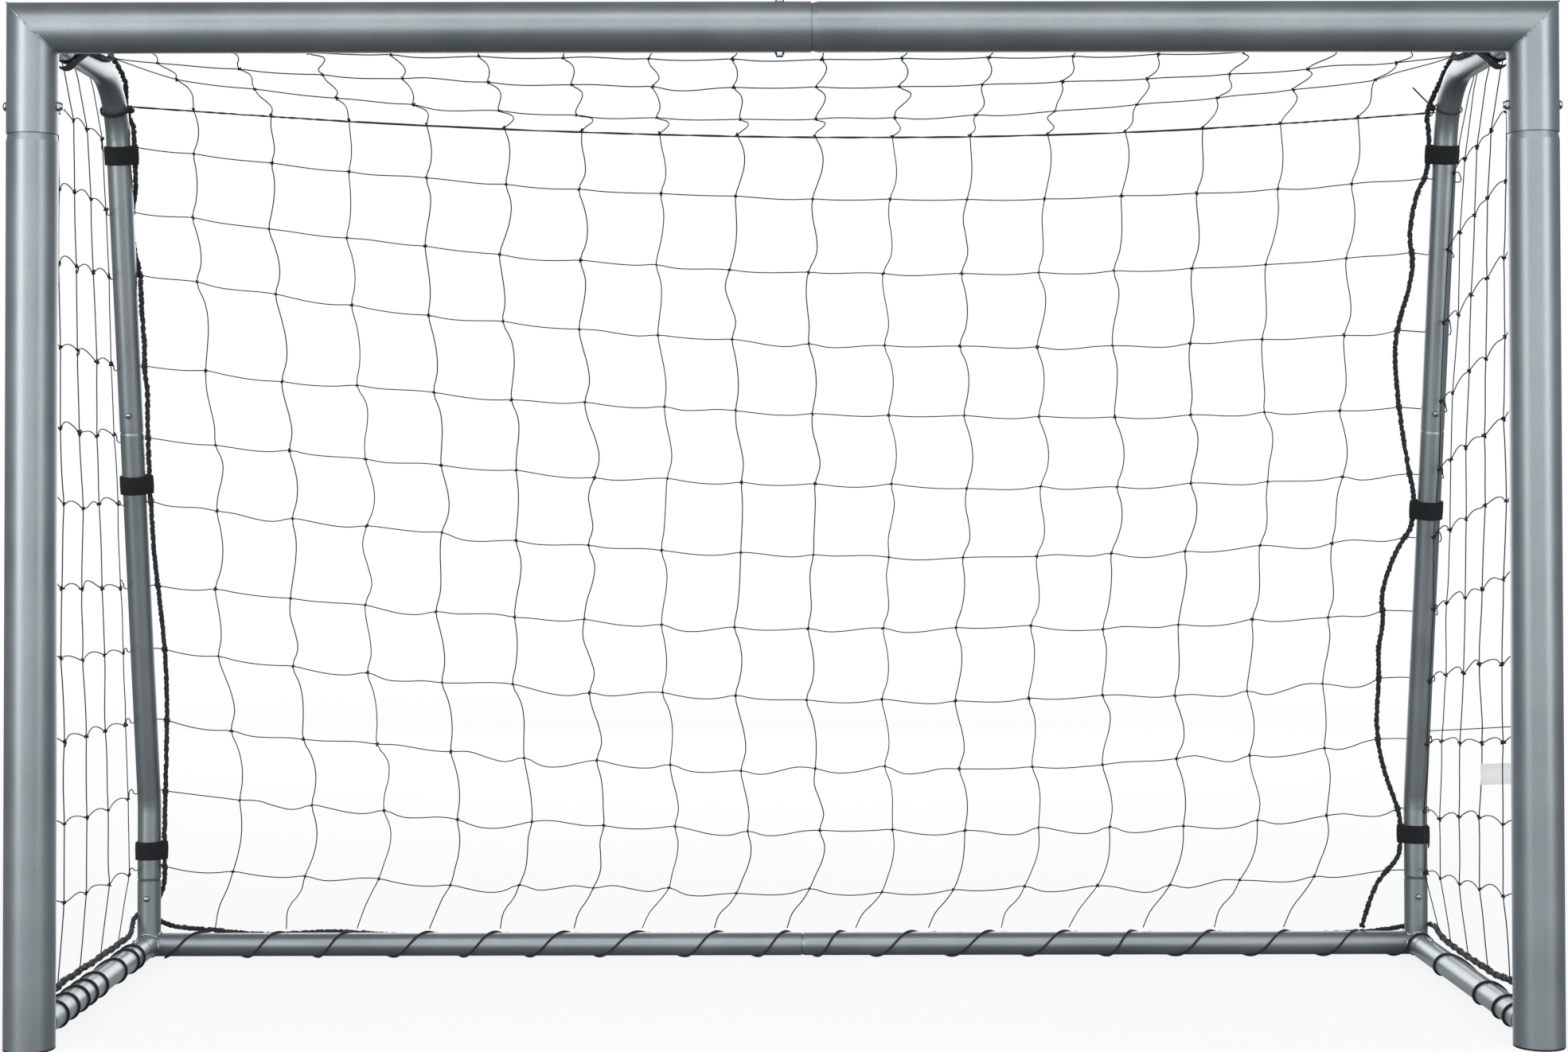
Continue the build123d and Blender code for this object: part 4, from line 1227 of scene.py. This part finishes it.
class GOAL_OT_straps(bpy.types.Operator):
    """Wraps the hook-and-loop straps that hold the rope to the tubes"""
    bl_idname = "goal.straps"
    bl_label = "Straps"

    def execute(self, context):
        heights = {"left": [(1101, 5, 0.0), (662, 6, 0.0), (151, 5, 0.5)],
                   "right": [(1100, 5, 0.0), (625, 6, 0.0), (171, 8, 9.0)]}
        for name, side in SIDES.items():
            inward = Vector((-side, 0, 0))
            bands = []
            for k, (z, overlap, droop) in enumerate(heights[name]):
                lean = math.atan(LEAN) if z > BEND_HEIGHT else 0.0
                up = Vector((0, -math.sin(lean), math.cos(lean)))
                forward = Vector((0, -math.cos(lean), -math.sin(lean)))
                centre = place(side * POST_X / MM, upright_depth(z), z)
                bands.append(strap_band(f"strap_{name}_{k}", centre, inward, forward, up, overlap, droop))
            dress(joined(f"straps_{name}", bands), "webbing", "strap_webbing", f"upright_straps_{name}")
            centre = place(side * POST_X / MM, 150, BAR_Z)
            band = strap_band(f"strap_top_{name}", centre, inward, Vector((0, 0, -1)), Vector((0, -1, 0)),
                              6, 3.0)
            dress(joined(f"strap_top_{name}", [band, self.slack_loop(name, side)]), "webbing",
                  "strap_webbing", f"corner_strap_{name}")
        return {"FINISHED"}

    def slack_loop(self, name, side):
        """The strap's spare end, which hangs in a crescent under the top run."""
        columns, rows = 15, 5

        def place_at(c, r):
            t = c / (columns - 1)
            inset = -12 + 27 * t
            sag = 9.5 * math.sin(math.pi * t) ** 0.8
            depth = 128 - 11 + 22 * r / (rows - 1)
            return beside(side, inset, depth, BAR_Z - TUBE - 1.5 - sag + 0.8 * math.sin(r * 1.3))

        loop = shaped_grid(f"strap_loop_{name}", columns, rows, place_at,
                           lambda c, r: (c * 2.2 * MM, r * 5.5 * MM))
        return thickened(loop, STRAP_THICKNESS, 40)


# ---------------------------------------------------------------- label
class GOAL_OT_label(bpy.types.Operator):
    """Hangs the blank cloth label on the right side net"""
    bl_idname = "goal.label"
    bl_label = "Label"

    def execute(self, context):
        columns, rows = 17, 9

        def place_at(c, r):
            across, up = (c / (columns - 1) - 0.5) * 50, (r / (rows - 1) - 0.5) * 26
            curl = 1.6 * math.sin(across * 0.09 + 0.5) + 0.5 * math.sin(up * 0.22)
            return place(POST_X / MM + 9 + across, 185 + curl, 298 + up + 0.02 * across)

        label = shaped_grid("care_label", columns, rows, place_at,
                            lambda c, r: (c / (columns - 1) * 0.05, r / (rows - 1) * 0.026))
        thickened(label, 0.35, 30)
        dress(label, "label", "label_cloth", "net_label")
        return {"FINISHED"}


# ---------------------------------------------------------------- welds
def bead(name, line, radius, roughness, seed):
    """Weld bead along a line: overlapping puddles of uneven size."""
    far = distances(line)
    ripple = np.array([wander(s * 260, seed, 1.0) for s in far])
    puddle = np.abs(np.sin(far * 900))
    size = radius * (1 + roughness * ripple + 0.15 * puddle)
    return tube(line, size, 7)


class GOAL_OT_welds(bpy.types.Operator):
    """Runs the weld beads at the front mitres and the rear corners"""
    bl_idname = "goal.welds"
    bl_label = "Weld beads"

    def execute(self, context):
        for name, side in SIDES.items():
            parts = []
            steps = np.linspace(0, math.tau, 90)
            mitre = np.array([beside(side, FRONT_TUBE * math.cos(a), FRONT_TUBE * math.sin(a),
                                     BAR_Z - FRONT_TUBE * math.cos(a)) for a in steps])
            parts.append(bead("mitre", mitre, 0.9 * MM, 0.25, 3))
            reach = TUBE + 0.4
            collar = []
            for a in np.linspace(0, math.tau, 80):
                inward, forward = reach * math.cos(a), reach * math.sin(a)
                rise = max(abs(inward) if inward > 0 else 0.0, abs(forward) if forward > 0 else 0.0,
                           4.0)
                collar.append(beside(side, inward, REAR_DEPTH - forward, BASE_HEIGHT + rise + 0.5))
            parts.append(bead("collar", np.array(collar), 1.7 * MM, 0.6, 5 + side))
            corner = []
            for a in np.linspace(-math.pi / 2, math.pi / 2, 40):
                out = reach * math.cos(a)
                corner.append(beside(side, out, REAR_DEPTH - out, BASE_HEIGHT + reach * math.sin(a)))
            parts.append(bead("corner", np.array(corner), 1.6 * MM, 0.6, 9 + side))
            dress(mesh_piece(f"welds_{name}", parts), "weld", "silver_paint")
        return {"FINISHED"}


# ---------------------------------------------------------------- finishes
FINISH_BY_SLOT = {
    "silver_paint": "silver", "zinc_plate": "zinc", "spring_steel": "spring", "black_plastic": "plastic",
    "strap_webbing": "webbing", "black_cord": "lace", "net_twine": "twine", "label_cloth": "label",
}


class GOAL_OT_finishes(bpy.types.Operator):
    """Gives every part of the frame its paint, plating or plastic"""
    bl_idname = "goal.finishes"
    bl_label = "Finishes"

    def execute(self, context):
        for part in frame["record"]["subparts"]:
            data = NODES[part["node"]].data
            data.materials.clear()
            data.materials.append(finish_of(FINISH_BY_SLOT[part["material_slot"]]))
        return {"FINISHED"}


# ---------------------------------------------------------------- add-on
STEPS = (GOAL_OT_stage, GOAL_OT_border_ropes, GOAL_OT_tension_line, GOAL_OT_lacing, GOAL_OT_net,
         GOAL_OT_straps, GOAL_OT_label, GOAL_OT_welds, GOAL_OT_finishes)


class GOAL_PT_panel(bpy.types.Panel):
    """Sizes, colours and building steps of the goal"""
    bl_idname = "GOAL_PT_panel"
    bl_label = "Soccer goal"
    bl_space_type = "VIEW_3D"
    bl_region_type = "UI"
    bl_category = "Goal"

    def draw(self, context):
        for group in (context.scene.goal_stage, context.scene.goal_cords, context.scene.goal_net,
                      context.scene.goal_finish):
            box = self.layout.box()
            for name in group.__annotations__:
                box.prop(group, name)
        for step in STEPS:
            self.layout.operator(step.bl_idname)


GROUPS = {"goal_stage": GoalStage, "goal_cords": GoalCords, "goal_net": GoalNet, "goal_finish": GoalFinish}


def register():
    for name, group in GROUPS.items():
        bpy.utils.register_class(group)
        setattr(bpy.types.Scene, name, bpy.props.PointerProperty(type=group))
    for item in (*STEPS, GOAL_PT_panel):
        bpy.utils.register_class(item)


def unregister():
    for item in (GOAL_PT_panel, *reversed(STEPS)):
        bpy.utils.unregister_class(item)
    for name, group in GROUPS.items():
        delattr(bpy.types.Scene, name)
        bpy.utils.unregister_class(group)


def main():
    register()
    for step in STEPS:
        group, name = step.bl_idname.split(".")
        getattr(getattr(bpy.ops, group), name)()


if __name__ == "__main__":
    main()
